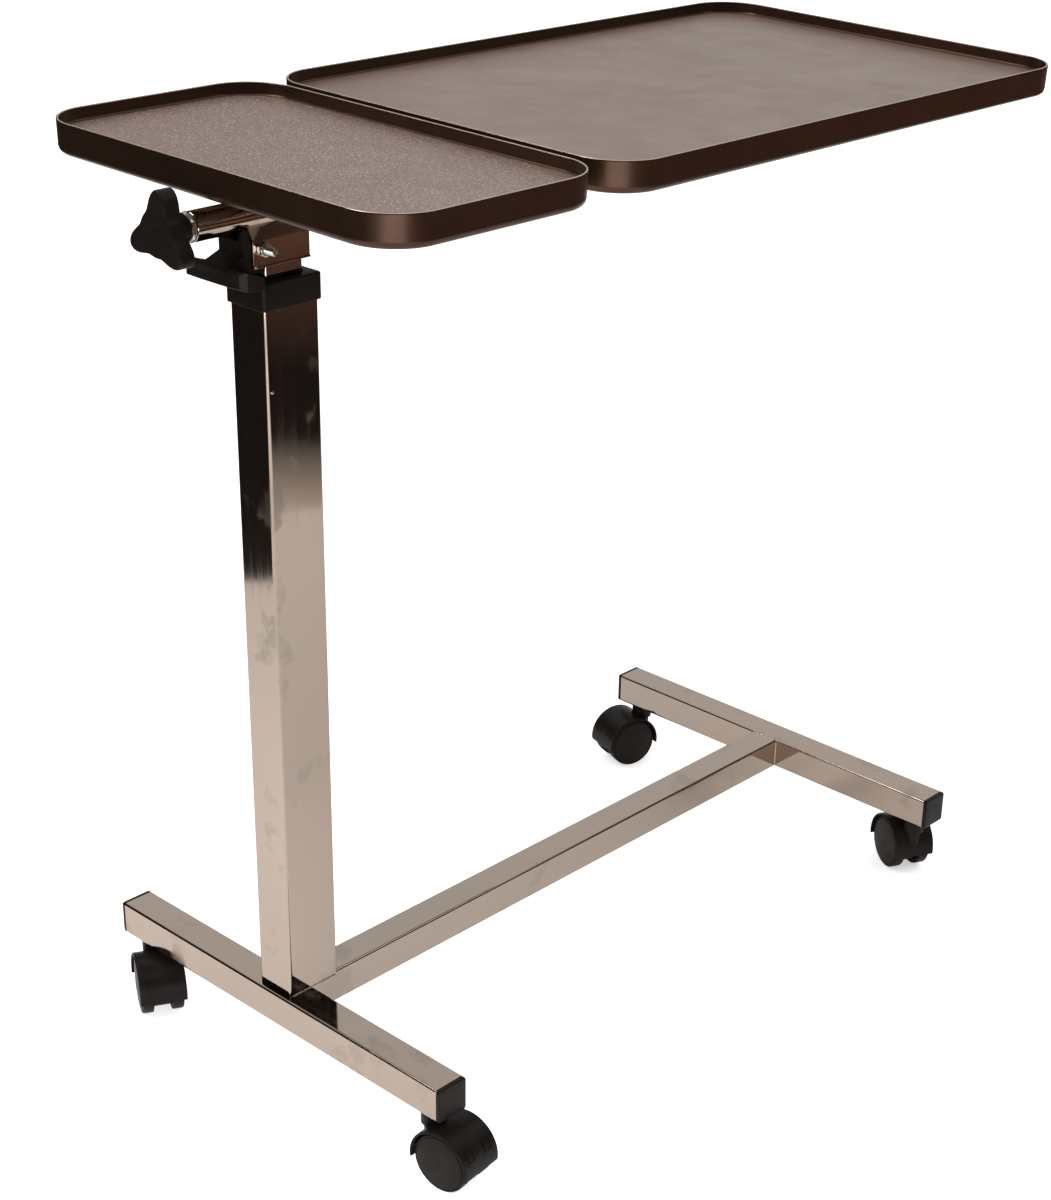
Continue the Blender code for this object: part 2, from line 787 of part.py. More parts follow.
def hood_mesh():
    """One hood in its own frame: stem on Z, wheels trailing along +X, floor at Z = 0."""
    arch = [(x + CASTER_OFFSET, z) for x, z in sector(HOOD_R, HOOD_BACK, HOOD_FRONT)]
    under = [(x + CASTER_OFFSET, z) for x, z in reversed(sector(HOOD_INNER_R, HOOD_BACK, HOOD_FRONT))]
    hood = prism("hood_pattern", [arch + under], 2 * HOOD_HALF, (0, 0, 0), ALONG_Y)
    bevel(hood, 0.8 * MM, 1, 60)
    web_outline = [(x + CASTER_OFFSET, z) for x, z in sector(HOOD_R - 1 * MM, HOOD_BACK, HOOD_FRONT)]
    web_outline += [(CASTER_OFFSET - 6 * MM, WHEEL_R - 8 * MM), (CASTER_OFFSET + 10 * MM, WHEEL_R - 12 * MM)]
    web = prism("hood_web", [web_outline], 2 * HOOD_WEB, (0, 0, 0), ALONG_Y)
    boss_top = BAR_UNDERSIDE - HOOD_CROWN
    boss = cylinder("hood_boss", 10 * MM, boss_top - 50 * MM, (0, 0, (boss_top + 50 * MM) / 2))
    tower = cylinder("hood_tower", 7.4 * MM, 26 * MM, (0, 0, 44 * MM))
    wheel_room = []
    for sign in (1, -1):
        middle = sign * (HOOD_WEB + 30 * MM)
        room = cylinder(
            f"wheel_room_{'a' if sign > 0 else 'b'}",
            WHEEL_ROOM_R,
            60 * MM,
            (CASTER_OFFSET, middle, WHEEL_R),
            ALONG_Y,
            steps=28,
        )
        wheel_room.append(room)
    socket = cylinder("stem_socket", STEM_R + GAP, 40 * MM, (0, 0, 36 * MM + 20 * MM), steps=20)
    axle_bore = cylinder(
        "axle_bore",
        AXLE_R + 0.05 * MM,
        20 * MM,
        (CASTER_OFFSET, 0, WHEEL_R),
        ALONG_Y,
        steps=20,
    )
    join(hood, web, boss, tower)
    cut(hood, *wheel_room, socket, axle_bore)
    mesh = evaluated_mesh(hood)
    mesh.transform(hood.matrix_world)
    for helper in (hood, web, boss, tower, *wheel_room, socket, axle_bore):
        bpy.data.objects.remove(helper, do_unlink=True)
    return shade(mesh)


def wheel_profile():
    """Half of a twin wheel, outer face up: blind axle bore, thin web and a rounded tread."""
    face = WHEEL_OUTER
    bore = AXLE_R + 0.05 * MM
    return [
        (0, face + 0.6 * MM),
        (WHEEL_R - 2 * MM, face - 0.6 * MM),
        (WHEEL_R, face - 3 * MM),
        (WHEEL_R, WHEEL_INNER + 1.6 * MM),
        (WHEEL_R - 1 * MM, WHEEL_INNER + 0.6 * MM),
        (WHEEL_R - 4 * MM, WHEEL_INNER + 0.6 * MM),
        (WHEEL_R - 5 * MM, WHEEL_INNER + 5 * MM),
        (9 * MM, WHEEL_INNER + 5 * MM),
        (7 * MM, WHEEL_INNER),
        (bore, WHEEL_INNER),
        (bore, AXLE_HALF + 0.4 * MM),
        (0, AXLE_HALF + 0.4 * MM),
    ]


def stem_profile():
    """Swivel pin below, flange against the bar's underside, threaded stud above."""
    flange_top = BAR_UNDERSIDE - GAP
    flange_bottom = BAR_UNDERSIDE - HOOD_CROWN + GAP
    return [
        (0, BAR_UNDERSIDE + 16 * MM),
        (STUD_HOLE_R - GAP, BAR_UNDERSIDE + 16 * MM),
        (STUD_HOLE_R - GAP, flange_top),
        (9 * MM, flange_top),
        (9 * MM, flange_bottom),
        (STEM_R, flange_bottom),
        (STEM_R, 38 * MM),
        (0, 38 * MM),
    ]


def caster(corner, hood):
    place, side = corner.split("_")
    x = BAR_PLACES[place]
    y = SIDES[side] * (BAR_HALF - STEM_INSET)
    yaw = math.radians(CASTER_YAW[corner])
    swivel = bpy.data.objects.new(f"{corner}_swivel_axis", None)
    TABLE.objects.link(swivel)
    swivel.parent = ROOT
    swivel.location = (x, y, 0)
    swivel.rotation_euler = (0, 0, yaw)
    shell = new_object(f"{corner}_caster_hood", hood.copy(), BLACK)
    shell.parent = swivel
    axle = cylinder(
        f"{corner}_axle", AXLE_R, 2 * AXLE_HALF, (CASTER_OFFSET, 0, WHEEL_R), ALONG_Y, STEEL, 20
    )
    axle.parent = swivel
    for label, turn in (("a", -math.pi / 2), ("b", math.pi / 2)):
        wheel = turned(
            f"{corner}_wheel_{label}", wheel_profile(), (CASTER_OFFSET, 0, WHEEL_R), (turn, 0, 0), BLACK, 24
        )
        wheel.parent = swivel
    turned(f"{corner}_caster_stem", stem_profile(), (x, y, 0), (0, 0, 0), STEEL, 16)
    prism(
        f"{corner}_stem_nut",
        [hexagon(14 * MM), circle(STUD_HOLE_R, 16)],
        6.5 * MM,
        (x, y, BAR_UNDERSIDE + TUBE_WALL + GAP + 3.25 * MM),
        finish=STEEL,
    )


def casters():
    hood = hood_mesh()
    for corner in CASTER_YAW:
        caster(corner, hood)
    bpy.data.meshes.remove(hood)


base()
column()
gas_spring_housing()
lift_tube()
gas_rod()
head_bracket()
lever_bolt()
height_lever()
tilt_axis()
knob()
trays()
casters()
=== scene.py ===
"""Looks of the overbed table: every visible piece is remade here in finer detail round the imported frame, with
procedural materials, a plain pale studio and a camera. Sizes are in metres, +Z is up, X runs along the base beam
from the column to the far foot bar, and the floor is Z = 0."""

import math

import bmesh
import bpy
from mathutils import Matrix, Vector

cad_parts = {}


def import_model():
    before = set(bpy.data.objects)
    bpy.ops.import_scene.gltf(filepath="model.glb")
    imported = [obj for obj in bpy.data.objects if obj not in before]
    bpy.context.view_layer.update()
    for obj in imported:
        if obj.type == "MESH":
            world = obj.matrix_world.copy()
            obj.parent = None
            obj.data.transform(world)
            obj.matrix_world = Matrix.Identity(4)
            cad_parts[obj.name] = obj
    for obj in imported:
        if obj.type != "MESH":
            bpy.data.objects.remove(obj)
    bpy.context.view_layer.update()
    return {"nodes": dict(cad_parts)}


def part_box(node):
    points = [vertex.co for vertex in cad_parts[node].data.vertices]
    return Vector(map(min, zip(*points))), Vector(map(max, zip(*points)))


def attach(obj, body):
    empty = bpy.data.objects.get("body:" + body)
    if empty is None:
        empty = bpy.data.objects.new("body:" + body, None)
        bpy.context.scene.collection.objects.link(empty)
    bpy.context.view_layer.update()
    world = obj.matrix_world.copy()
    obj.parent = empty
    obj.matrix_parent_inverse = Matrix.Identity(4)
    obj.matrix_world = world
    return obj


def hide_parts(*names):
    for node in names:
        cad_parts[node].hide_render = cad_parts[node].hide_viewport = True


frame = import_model()

MM = 0.001
TINY = 0.01 * MM

# Details that the frame only implies
TUBE_CORNER = 2.5 * MM
TUBE_WALL = 1.5 * MM
COLUMN_WALL = 1.5 * MM
LIFT_CORNER = 2 * MM
CLEARANCE = 0.3 * MM
TRAY_LEAN = math.radians(0.94)
TRAY_CORNER = 42 * MM
TRAY_DEPTH = 10.5 * MM
TRAY_FLOOR = 3.2 * MM
KNOB_TIP = 31 * MM
KNOB_WAIST = 17 * MM
KNOB_TURN = math.radians(97)
KNOB_THICKNESS = 14 * MM
KNOB_RIM = 1.7 * MM
KNOB_HUB_R = 11 * MM
HOOD_INNER_R = 26.8 * MM
HOOD_OUTER_R = 29.3 * MM
HOOD_HALF_WIDTH = 20.4 * MM
HOOD_WEB = 6.9 * MM
HOOD_HUB_R = 20.5 * MM
HOOD_ENDS = (-8, 188)
WHEEL_INNER = 7.6 * MM
WHEEL_OUTER = 19.2 * MM
WHEEL_BORE_R = 3.1 * MM
STUD_R = 4.1 * MM
CORNERS = ("near_left", "near_right", "far_left", "far_right")

# Camera
CAMERA_PLACE = (-1.33937, -1.21660, 1.13815)
CAMERA_TURN = -47.8526
CAMERA_DOWN = 26.0591
CAMERA_ROLL = 1.4291
CAMERA_LENS = 67.84
CAMERA_SHIFT = (-0.0400, 0.0734)

# Finishes
CHROME_COOL = (0.40, 0.33, 0.278)
CHROME_WARM = (0.43, 0.343, 0.284)
CHROME_SMUDGE = (0.29, 0.24, 0.205)

# Studio; an edge is where a glow begins and where it is full, as a direction's share along its middle
LEFT_CARD = 1.30
RIGHT_CARD = 1.10
CARD_DARK = (0.020, 0.018, 0.017)
CARD_PALE = (0.8, 0.75, 0.7)
CARD_BROWN = (0.26, 0.135, 0.098)
CARD_HEIGHT = 1.1
CARD_REACH = 3.0
STUDIO_WHITE = 1.35
BACKDROP_EDGE = (0.25, 0.6)
DIM_PATCH = (0.450, 0.882, 0.139)
DIM_EDGE = (0.955, 0.988)
DIM_SHARE = 0.8
CEILING_EDGE = (0.62, 0.86)
CEILING_LIGHT = 1.15
WINDOW_TOWARDS = (-0.75, 0.25, 0.61)
WINDOW_EDGE = (0.93, 0.97)
WINDOW_LIGHT = 1.6
GLOSSY_LEAST = 0.02
DOME_EDGE = (-0.1, 0.5)
DOME_LIGHT = 0.55
DOME_LEAST = 0.62
FLOOR_LIFT = 0.45
POOL_PLACE = (-0.65, 0.05, 0)
POOL_REACH = (0.25, 0.85)
POOL_LIGHT = 0.3
KEY_WATTS = 22
FRONT_WATTS = 8
FILL_WATTS = 8
FLOOR_REACH = 14


# ---------------------------------------------------------------- outlines, all as (across, up) pairs


def arc(centre, radius, start, end, steps):
    """Points round an arc, its ends in degrees."""
    across, up = centre
    turns = [math.radians(start + (end - start) * step / steps) for step in range(steps + 1)]
    return [(across + radius * math.cos(turn), up + radius * math.sin(turn)) for turn in turns]


def rounded(width, depth, radius, steps=8):
    """A rectangle about the origin with round corners."""
    points = []
    for quarter, (side_x, side_y) in enumerate(((1, 1), (-1, 1), (-1, -1), (1, -1))):
        centre = (side_x * (width / 2 - radius), side_y * (depth / 2 - radius))
        points += arc(centre, radius, 90 * quarter, 90 * quarter + 90, steps)
    return points


def shrunk(size, radius, inset, steps=8):
    """A rounded rectangle with its outline drawn in all round."""
    return rounded(size[0] - 2 * inset, size[1] - 2 * inset, max(radius - inset, 0.15 * MM), steps)


def circle(radius, steps=48):
    return arc((0, 0), radius, 0, 360, steps)[:-1]


def mirrored(outline):
    """The outline's mirror image, in reverse order."""
    return [(-across, up) for across, up in reversed(outline)]


def fillet(corners, radius, steps=4):
    """A closed outline with each corner rounded, by less where its sides are short."""
    points = []
    for index, corner in enumerate(corners):
        here = Vector(corner)
        back = Vector(corners[index - 1]) - here
        ahead = Vector(corners[(index + 1) % len(corners)]) - here
        bend = back.angle(ahead)
        if bend > math.radians(172):
            points.append(tuple(here))
            continue
        reach = min(radius / math.tan(bend / 2), 0.45 * back.length, 0.45 * ahead.length)
        start = here + back.normalized() * reach
        end = here + ahead.normalized() * reach
        for step in range(steps + 1):
            t = step / steps
            points.append(tuple(start * (1 - t) ** 2 + here * 2 * t * (1 - t) + end * t**2))
    return points


# ---------------------------------------------------------------- skins, as (points, faces)


def placed(axis, outline, place, centre):
    """An outline in space, square to an axis, at a place along it."""
    x, y, z = centre
    if axis == "X":
        return [(place, y + across, z + up) for across, up in outline]
    if axis == "Y":
        return [(x + across, place, z + up) for across, up in outline]
    return [(x + across, y + up, place) for across, up in outline]


def loft(rings, loop=False):
    """A closed skin through rings of the same count: capped at its ends, or joined from last to first."""
    size, count = len(rings[0]), len(rings)
    points = [point for ring in rings for point in ring]
    faces = []
    for ring in range(count if loop else count - 1):
        low, high = ring * size, (ring + 1) % count * size
        for index in range(size):
            after = (index + 1) % size
            faces.append((low + index, low + after, high + after, high + index))
    if not loop:
        faces.append(tuple(reversed(range(size))))
        faces.append(tuple(range((count - 1) * size, count * size)))
    return points, faces


def lathe(axis, centre, profile, steps=64, loop=False):
    """A turned skin from (radius, place) pairs."""
    rings = [placed(axis, circle(max(radius, TINY), steps), place, centre) for radius, place in profile]
    return loft(rings, loop)


def nested(axis, size, corner, rings, centre, steps=8, loop=False):
    """A skin of rounded rectangles, each ring given as (inset, place)."""
    return loft([placed(axis, shrunk(size, corner, inset, steps), at, centre) for inset, at in rings], loop)


def prism(axis, outline, start, end, centre=(0, 0, 0)):
    return loft([placed(axis, outline, start, centre), placed(axis, outline, end, centre)])


def tube(axis, low, high, corner, wall, steps=8, chamfer=0.3 * MM):
    """A rectangular tube that fills a box, open at both ends, with its end edges broken."""
    along = "XYZ".index(axis)
    across = [index for index in range(3) if index != along]
    size = [high[index] - low[index] for index in across]
    centre = (low + high) / 2
    start, end = low[along], high[along]
    rings = [
        (wall, start + chamfer / 2),
        (wall - chamfer, start),
        (chamfer, start),
        (0, start + chamfer),
        (0, end - chamfer),
        (chamfer, end),
        (wall - chamfer, end),
        (wall, end - chamfer / 2),
    ]
    return nested(axis, size, corner, rings, centre, steps, True)


def hexagon_nut(axis, centre, flats, start, end, bore=0):
    """A nut with both faces turned down at the corners; with no bore it is a bolt's head."""
    sixth, count = math.pi / 3, 72

    def ring(limit, place):
        outline = []
        for step in range(count):
            turn = 2 * math.pi * step / count
            flat = flats / 2 / math.cos((turn + sixth / 2) % sixth - sixth / 2)
            reach = min(flat, limit)
            outline.append((reach * math.cos(turn), reach * math.sin(turn)))
        return placed(axis, outline, place, centre)

    facing, shoulder, tip = flats / 2 * 0.94, flats / 2 * 1.02, flats / math.sqrt(3)
    drop = math.copysign(0.12 * flats, end - start)
    outside = [
        ring(facing, start),
        ring(shoulder, start + drop * 0.2),
        ring(tip, start + drop),
        ring(tip, end - drop),
        ring(shoulder, end - drop * 0.2),
        ring(facing, end),
    ]
    if not bore:
        return loft(outside)
    inside = [placed(axis, circle(bore, count), at, centre) for at in (end, start)]
    return loft(outside + inside, True)


def bead(path, radius, seed):
    """A weld bead along a path of points, rippled like laid metal and thin at its ends."""
    rings = []
    sides = 10
    for index, point in enumerate(path):
        before = Vector(path[max(index - 1, 0)])
        after = Vector(path[min(index + 1, len(path) - 1)])
        forward = (after - before).normalized()
        side = forward.orthogonal().normalized()
        up = forward.cross(side)
        ripple = 0.16 * math.sin(index * 1.9 + seed) + 0.08 * math.sin(index * 0.7 + 2 * seed)
        swell = radius * (1 + ripple)
        if index in (0, len(path) - 1):
            swell *= 0.35
        ring = []
        for step in range(sides):
            turn = 2 * math.pi * step / sides
            ring.append(tuple(Vector(point) + swell * (side * math.cos(turn) + up * math.sin(turn))))
        rings.append(ring)
    return loft(rings)


def between(start, end, spacing):
    """Points along a straight line, both ends included."""
    start, end = Vector(start), Vector(end)
    count = max(2, round((end - start).length / spacing))
    return [tuple(start.lerp(end, step / count)) for step in range(count + 1)]


# ---------------------------------------------------------------- materials


class Look:
    """A node material in the making: a Principled shader and short ways to reach and link nodes."""

    def __init__(self, name):
        self.material = bpy.data.materials.new(name)
        self.material.use_nodes = True
        self.tree = self.material.node_tree
        self.shader = self.tree.nodes["Principled BSDF"]
        self.place = self.tree.nodes.new("ShaderNodeTexCoord").outputs["Object"]

    def set(self, **values):
        for name, value in values.items():
            self.shader.inputs[name.replace("_", " ")].default_value = value
        return self

    def link(self, output, socket):
        self.tree.links.new(output, self.shader.inputs[socket])

    def stretched(self, scale):
        node = self.tree.nodes.new("ShaderNodeMapping")
        node.inputs["Scale"].default_value = scale
        self.tree.links.new(self.place, node.inputs["Vector"])
        return node.outputs["Vector"]

    def noise(self, scale, detail=3.0, rough=0.5, stretch=(1, 1, 1)):
        node = self.tree.nodes.new("ShaderNodeTexNoise")
        node.inputs["Scale"].default_value = scale
        node.inputs["Detail"].default_value = detail
        node.inputs["Roughness"].default_value = rough
        self.tree.links.new(self.stretched(stretch), node.inputs["Vector"])
        return node.outputs["Fac"]

    def cells(self, scale, feature="F1", output="Distance"):
        node = self.tree.nodes.new("ShaderNodeTexVoronoi")
        node.feature = feature
        node.inputs["Scale"].default_value = scale
        self.tree.links.new(self.place, node.inputs["Vector"])
        return node.outputs[output]

    def ramp(self, value, low, high, start=0.0, end=1.0):
        """The value's stretch from low to high, mapped onto start to end and held there."""
        node = self.tree.nodes.new("ShaderNodeMapRange")
        node.inputs["From Min"].default_value = low
        node.inputs["From Max"].default_value = high
        node.inputs["To Min"].default_value = start
        node.inputs["To Max"].default_value = end
        self.tree.links.new(value, node.inputs["Value"])
        return node.outputs["Result"]

    def blend(self, factor, first, second):
        node = self.tree.nodes.new("ShaderNodeMix")
        node.data_type = "RGBA"
        for socket, value in ((node.inputs[6], first), (node.inputs[7], second)):
            if hasattr(value, "links"):
                self.tree.links.new(value, socket)
            else:
                socket.default_value = (*value, 1)
        self.tree.links.new(factor, node.inputs[0])
        return node.outputs[2]

    def math(self, operation, first, second):
        node = self.tree.nodes.new("ShaderNodeMath")
        node.operation = operation
        for socket, value in zip(node.inputs, (first, second)):
            if hasattr(value, "links"):
                self.tree.links.new(value, socket)
            else:
                socket.default_value = value
        return node.outputs[0]

    def bump(self, height, strength, distance):
        node = self.tree.nodes.new("ShaderNodeBump")
        node.inputs["Strength"].default_value = strength
        node.inputs["Distance"].default_value = distance
        self.tree.links.new(height, node.inputs["Height"])
        self.link(node.outputs["Normal"], "Normal")


def chrome(name, along):
    """Polished chrome plate with faint drawing lines along the tube, smudges and a slight waviness."""
    look = Look(name)
    look.set(Metallic=1.0)
    stretch = [160, 160, 160]
    stretch["XYZ".index(along)] = 3
    lines = look.noise(1.0, 3, 0.6, stretch)
    smudge = look.ramp(look.noise(19, 5, 0.6), 0.57, 0.63)
    tint = look.blend(look.ramp(look.noise(5, 2), 0.35, 0.65), CHROME_COOL, CHROME_WARM)
    look.link(look.blend(look.math("MULTIPLY", smudge, 0.4), tint, CHROME_SMUDGE), "Base Color")
    rough = look.math("ADD", look.ramp(lines, 0.3, 0.7, 0.04, 0.1), look.math("MULTIPLY", smudge, 0.13))
    look.link(rough, "Roughness")
    waves = look.math("MULTIPLY", look.noise(9, 1), 6.0)
    look.bump(look.math("ADD", waves, look.math("MULTIPLY", lines, 0.05)), 0.5, 0.1 * MM)
    return look.material


def zinc():
    """Bright zinc plate: fine spangle, a little yellow, brushed by handling."""
    look = Look("zinc_steel_look")
    look.set(Metallic=1.0)
    spangle = look.ramp(look.cells(900), 0.0, 0.8)
    look.link(look.blend(spangle, (0.62, 0.60, 0.55), (0.50, 0.50, 0.47)), "Base Color")
    look.link(look.ramp(look.noise(220, 4, 0.6), 0.3, 0.7, 0.2, 0.36), "Roughness")
    look.bump(look.noise(1400, 2), 0.25, 0.03 * MM)
    return look.material


def moulded(name, colour, rough, grain=2600, depth=0.05):
    """Moulded plastic: spark-eroded grain, slow colour drift and slightly rubbed patches."""
    look = Look(name)
    look.set(Specular_IOR_Level=0.12)
    worn = look.ramp(look.noise(34, 4, 0.6), 0.45, 0.75)
    lighter = tuple(1.35 * channel + 0.002 for channel in colour)
    look.link(look.blend(worn, colour, lighter), "Base Color")
    even = look.ramp(look.noise(90, 3), 0.3, 0.7, rough - 0.03, rough + 0.06)
    look.link(look.math("SUBTRACT", even, look.math("MULTIPLY", worn, 0.08)), "Roughness")
    look.bump(look.noise(grain, 2, 0.5), 0.35, depth * MM)
    return look.material


def tray_rim():
    """Dark brown metallic enamel under a satin coat."""
    look = Look("tray_rim_look")
    look.set(Metallic=0.85, Coat_Weight=0.15, Coat_Roughness=0.2, Specular_IOR_Level=0.3)
    drift = look.ramp(look.noise(14, 4, 0.6), 0.35, 0.7)
    look.link(look.blend(drift, (0.074, 0.037, 0.022), (0.060, 0.030, 0.018)), "Base Color")
    look.link(look.ramp(look.noise(60, 4), 0.3, 0.7, 0.3, 0.38), "Roughness")
    look.bump(look.noise(500, 3), 0.2, 0.03 * MM)
    return look.material


def tray_floor(name, grain, depth, glint):
    """The same brown with a pebbled grain in its bump, and sparse fine points painted pale into its colour as
    glints: painted highlights.
    """
    look = Look(name)
    look.set(Metallic=0.3, Specular_IOR_Level=0.35)
    drift = look.ramp(look.noise(11, 5, 0.62), 0.3, 0.75)
    shade = look.blend(drift, (0.215, 0.142, 0.114), (0.190, 0.125, 0.100))
    # Painted highlights: grain cells above the glint value get a pale colour, painted glints where the grain
    # would catch the light.
    painted_glints = look.ramp(look.cells(2.4 * grain, "F1", "Color"), glint, 1.0)
    look.link(look.blend(painted_glints, shade, (0.75, 0.66, 0.59)), "Base Color")
    look.link(look.ramp(look.noise(28, 4), 0.3, 0.7, 0.34, 0.44), "Roughness")
    pebbles = look.ramp(look.cells(grain, "SMOOTH_F1"), 0.0, 0.8, 1.0, 0.0)
    uneven = look.math("MULTIPLY", look.noise(grain * 1.3, 3), 0.6)
    look.bump(look.math("ADD", pebbles, uneven), 0.6, depth * MM)
    return look.material


def painted_lip_highlight():
    """The lip's crest, painted as paler metal than the rim: a painted highlight line along the lip."""
    look = Look("tray_lip_look")
    look.set(Metallic=1.0)
    look.link(look.blend(look.noise(40, 3), (0.62, 0.50, 0.42), (0.42, 0.31, 0.25)), "Base Color")
    look.link(look.ramp(look.noise(90, 3), 0.3, 0.7, 0.22, 0.34), "Roughness")
    return look.material


def paper():
    """Seamless studio paper, lifted towards white to the camera and by a soft pool of light on the left."""
    look = Look("paper_look")
    look.set(Roughness=1.0, Specular_IOR_Level=0.0, Emission_Color=(1, 1, 1, 1))
    tone = look.noise(3, 2)
    look.link(look.blend(tone, (0.97, 0.965, 0.96), (0.985, 0.98, 0.975)), "Base Color")
    away = look.tree.nodes.new("ShaderNodeVectorMath")
    away.operation = "DISTANCE"
    away.inputs[1].default_value = POOL_PLACE
    look.tree.links.new(look.place, away.inputs[0])
    pool = look.ramp(away.outputs["Value"], *POOL_REACH, POOL_LIGHT, 0.0)
    seen = look.tree.nodes.new("ShaderNodeLightPath").outputs["Is Camera Ray"]
    look.link(look.math("ADD", pool, look.math("MULTIPLY", seen, FLOOR_LIFT)), "Emission Strength")
    return look.material


def card(name, stops):
    """A side card, coloured by height: stops are (height, colour), and each blends into the next."""
    look = Look(name)
    look.set(Roughness=1.0, Specular_IOR_Level=0.0)
    split = look.tree.nodes.new("ShaderNodeSeparateXYZ")
    look.tree.links.new(look.place, split.inputs[0])
    height = split.outputs["Z"]
    colour = stops[0][1]
    for (low, _), (high, after) in zip(stops, stops[1:]):
        colour = look.blend(look.ramp(height, low, high), colour, after)
    shade = look.ramp(look.noise(2, 1), 0.3, 0.7, 0.0, 0.1)
    look.link(look.blend(shade, colour, CARD_DARK), "Base Color")
    return look.material


CHROME = {axis: chrome(f"chrome_along_{axis.lower()}", axis) for axis in "XYZ"}
ZINC = zinc()
BLACK = moulded("black_plastic_look", (0.0085, 0.0062, 0.0052), 0.36)
TREAD = moulded("wheel_tread_look", (0.0100, 0.0068, 0.0056), 0.4, 1500, 0.06)
GUIDE = moulded("guide_plastic_look", (0.05, 0.05, 0.05), 0.5)
PAINT = moulded("cylinder_paint_look", (0.03, 0.03, 0.03), 0.3, 900, 0.03)
RIM = tray_rim()
LIP_HIGHLIGHT = painted_lip_highlight()
# The last number is where each floor's painted glints begin; at 0.95 the large tray has almost none.
FLOORS = {
    "small": tray_floor("small_tray_floor_look", 560, 0.42, 0.72),
    "large": tray_floor("large_tray_floor_look", 800, 0.10, 0.95),
}


# ---------------------------------------------------------------- pieces


def piece(name, skins, body, look, replaces=(), sharp=32, edges=None, matrix=None):
    """One visible piece from closed skins: it rides on a CAD body and stands for the CAD nodes it replaces.
    edges is (width, segments, least angle in degrees) of the rounding on its sharp edges."""
    mesh = bpy.data.meshes.new(name)
    work = bmesh.new()
    for points, faces in skins:
        made = [work.verts.new(point) for point in points]
        for face in faces:
            work.faces.new([made[index] for index in face])
    near = 0.002 * MM if edges else 0.02 * MM
    bmesh.ops.remove_doubles(work, verts=work.verts, dist=near)
    bmesh.ops.recalc_face_normals(work, faces=work.faces)
    if edges:
        width, segments, least = edges
        least = math.radians(least)
        hard = [edge for edge in work.edges if edge.is_manifold and edge.calc_face_angle(0) > least]
        bmesh.ops.bevel(work, geom=hard, offset=width, segments=segments, profile=0.5, affect="EDGES",
                        clamp_overlap=True)
    work.to_mesh(mesh)
    work.free()
    if matrix:
        mesh.transform(matrix)
    mesh.materials.append(look)
    mesh.shade_smooth()
    mesh.set_sharp_from_angle(angle=math.radians(sharp))
    thing = bpy.data.objects.new(name, mesh)
    bpy.context.scene.collection.objects.link(thing)
    even = thing.modifiers.new("even_normals", "WEIGHTED_NORMAL")
    even.keep_sharp = True
    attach(thing, body)
    if replaces:
        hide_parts(*replaces)
    return thing


def middle(node):
    low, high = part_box(node)
    return (low + high) / 2


def radius_of(node):
    """A round node's radius, for a node that lies along X."""
    low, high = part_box(node)
    return (high[2] - low[2]) / 2


def flat_size(node):
    """A node's extents in X and Y."""
    low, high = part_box(node)
    return high[0] - low[0], high[1] - low[1]


# ---------------------------------------------------------------- base


def foot_bar(place):
    low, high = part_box(f"{place}_foot_bar")
    piece(f"{place}_bar", [tube("Y", low, high, TUBE_CORNER, TUBE_WALL)], "base", CHROME["Y"],
          [f"{place}_foot_bar"])


def end_plug(place, side):
    """A moulded cap with a soft edge and a slightly crowned face; a short spigot closes the tube's mouth."""
    low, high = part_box(f"{place}_{side}_end_plug")
    bar_low, bar_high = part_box(f"{place}_foot_bar")
    centre = (bar_low + bar_high) / 2
    size = (bar_high[0] - bar_low[0], bar_high[2] - bar_low[2])
    left = side == "left"
    sign = 1 if left else -1
    outer = high[1] if left else low[1]
    inner = (bar_high[1] if left else bar_low[1]) + sign * CLEARANCE
    spigot, edge, crown = 1.8 * MM, 1.3 * MM, 0.25 * MM
    rings = [(spigot, inner - sign * 9 * MM), (spigot, inner - sign * 0.1 * MM), (crown, inner),
             (0, inner + sign * 0.3 * MM)]
    for step in range(6):
        turn = math.radians(90 * step / 5)
        rings.append((edge * (1 - math.cos(turn)), outer - sign * (crown + edge * (1 - math.sin(turn)))))
    rings += [(5 * MM, outer - sign * 0.08 * MM), (9 * MM, outer)]
    skin = nested("Y", size, TUBE_CORNER, rings, centre)
    piece(f"{place}_{side}_plug", [skin], "base", BLACK, [f"{place}_{side}_end_plug"])


def beam():
    low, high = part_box("base_beam")
    skin = tube("X", low, high, TUBE_CORNER, TUBE_WALL)
    piece("beam", [skin], "base", CHROME["X"], ["base_beam"])


def welds():
    """Ground welds where the beam meets the foot bars, and where the column stands on the near one."""
    low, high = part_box("base_beam")
    radius, step = 1.5 * MM, 1.6 * MM
    front, back = low[1] + 2 * MM, high[1] - 2 * MM
    crest = high[2] - 0.5 * MM
    beads = []
    for seed, x in enumerate((low[0], high[0])):
        for y in (low[1], high[1]):
            upright = between((x, y, low[2] + 1.5 * MM), (x, y, high[2] - 1.5 * MM), step)
            beads.append(bead(upright, radius, seed))
        beads.append(bead(between((x, front, low[2]), (x, back, low[2]), step), radius, seed + 3))
        beads.append(bead(between((x, front, crest), (x, back, crest), step), 0.9 * MM, seed + 5))
    piece("beam_welds", beads, "base", CHROME["Z"], sharp=70)
    low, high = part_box("column_tube")
    left, right, z = low[0] + 1.5 * MM, high[0] - 1.5 * MM, low[2] - 0.2 * MM
    beads = [bead(between((left, y, z), (right, y, z), 1.5 * MM), 0.8 * MM, 2) for y in (low[1], high[1])]
    piece("column_welds", beads, "base", CHROME["Z"], sharp=70)


# ---------------------------------------------------------------- column


def column():
    low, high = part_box("column_tube")
    skin = tube("Z", low, high, TUBE_CORNER, COLUMN_WALL, 10)
    piece("column", [skin], "base", CHROME["Z"], ["column_tube"])


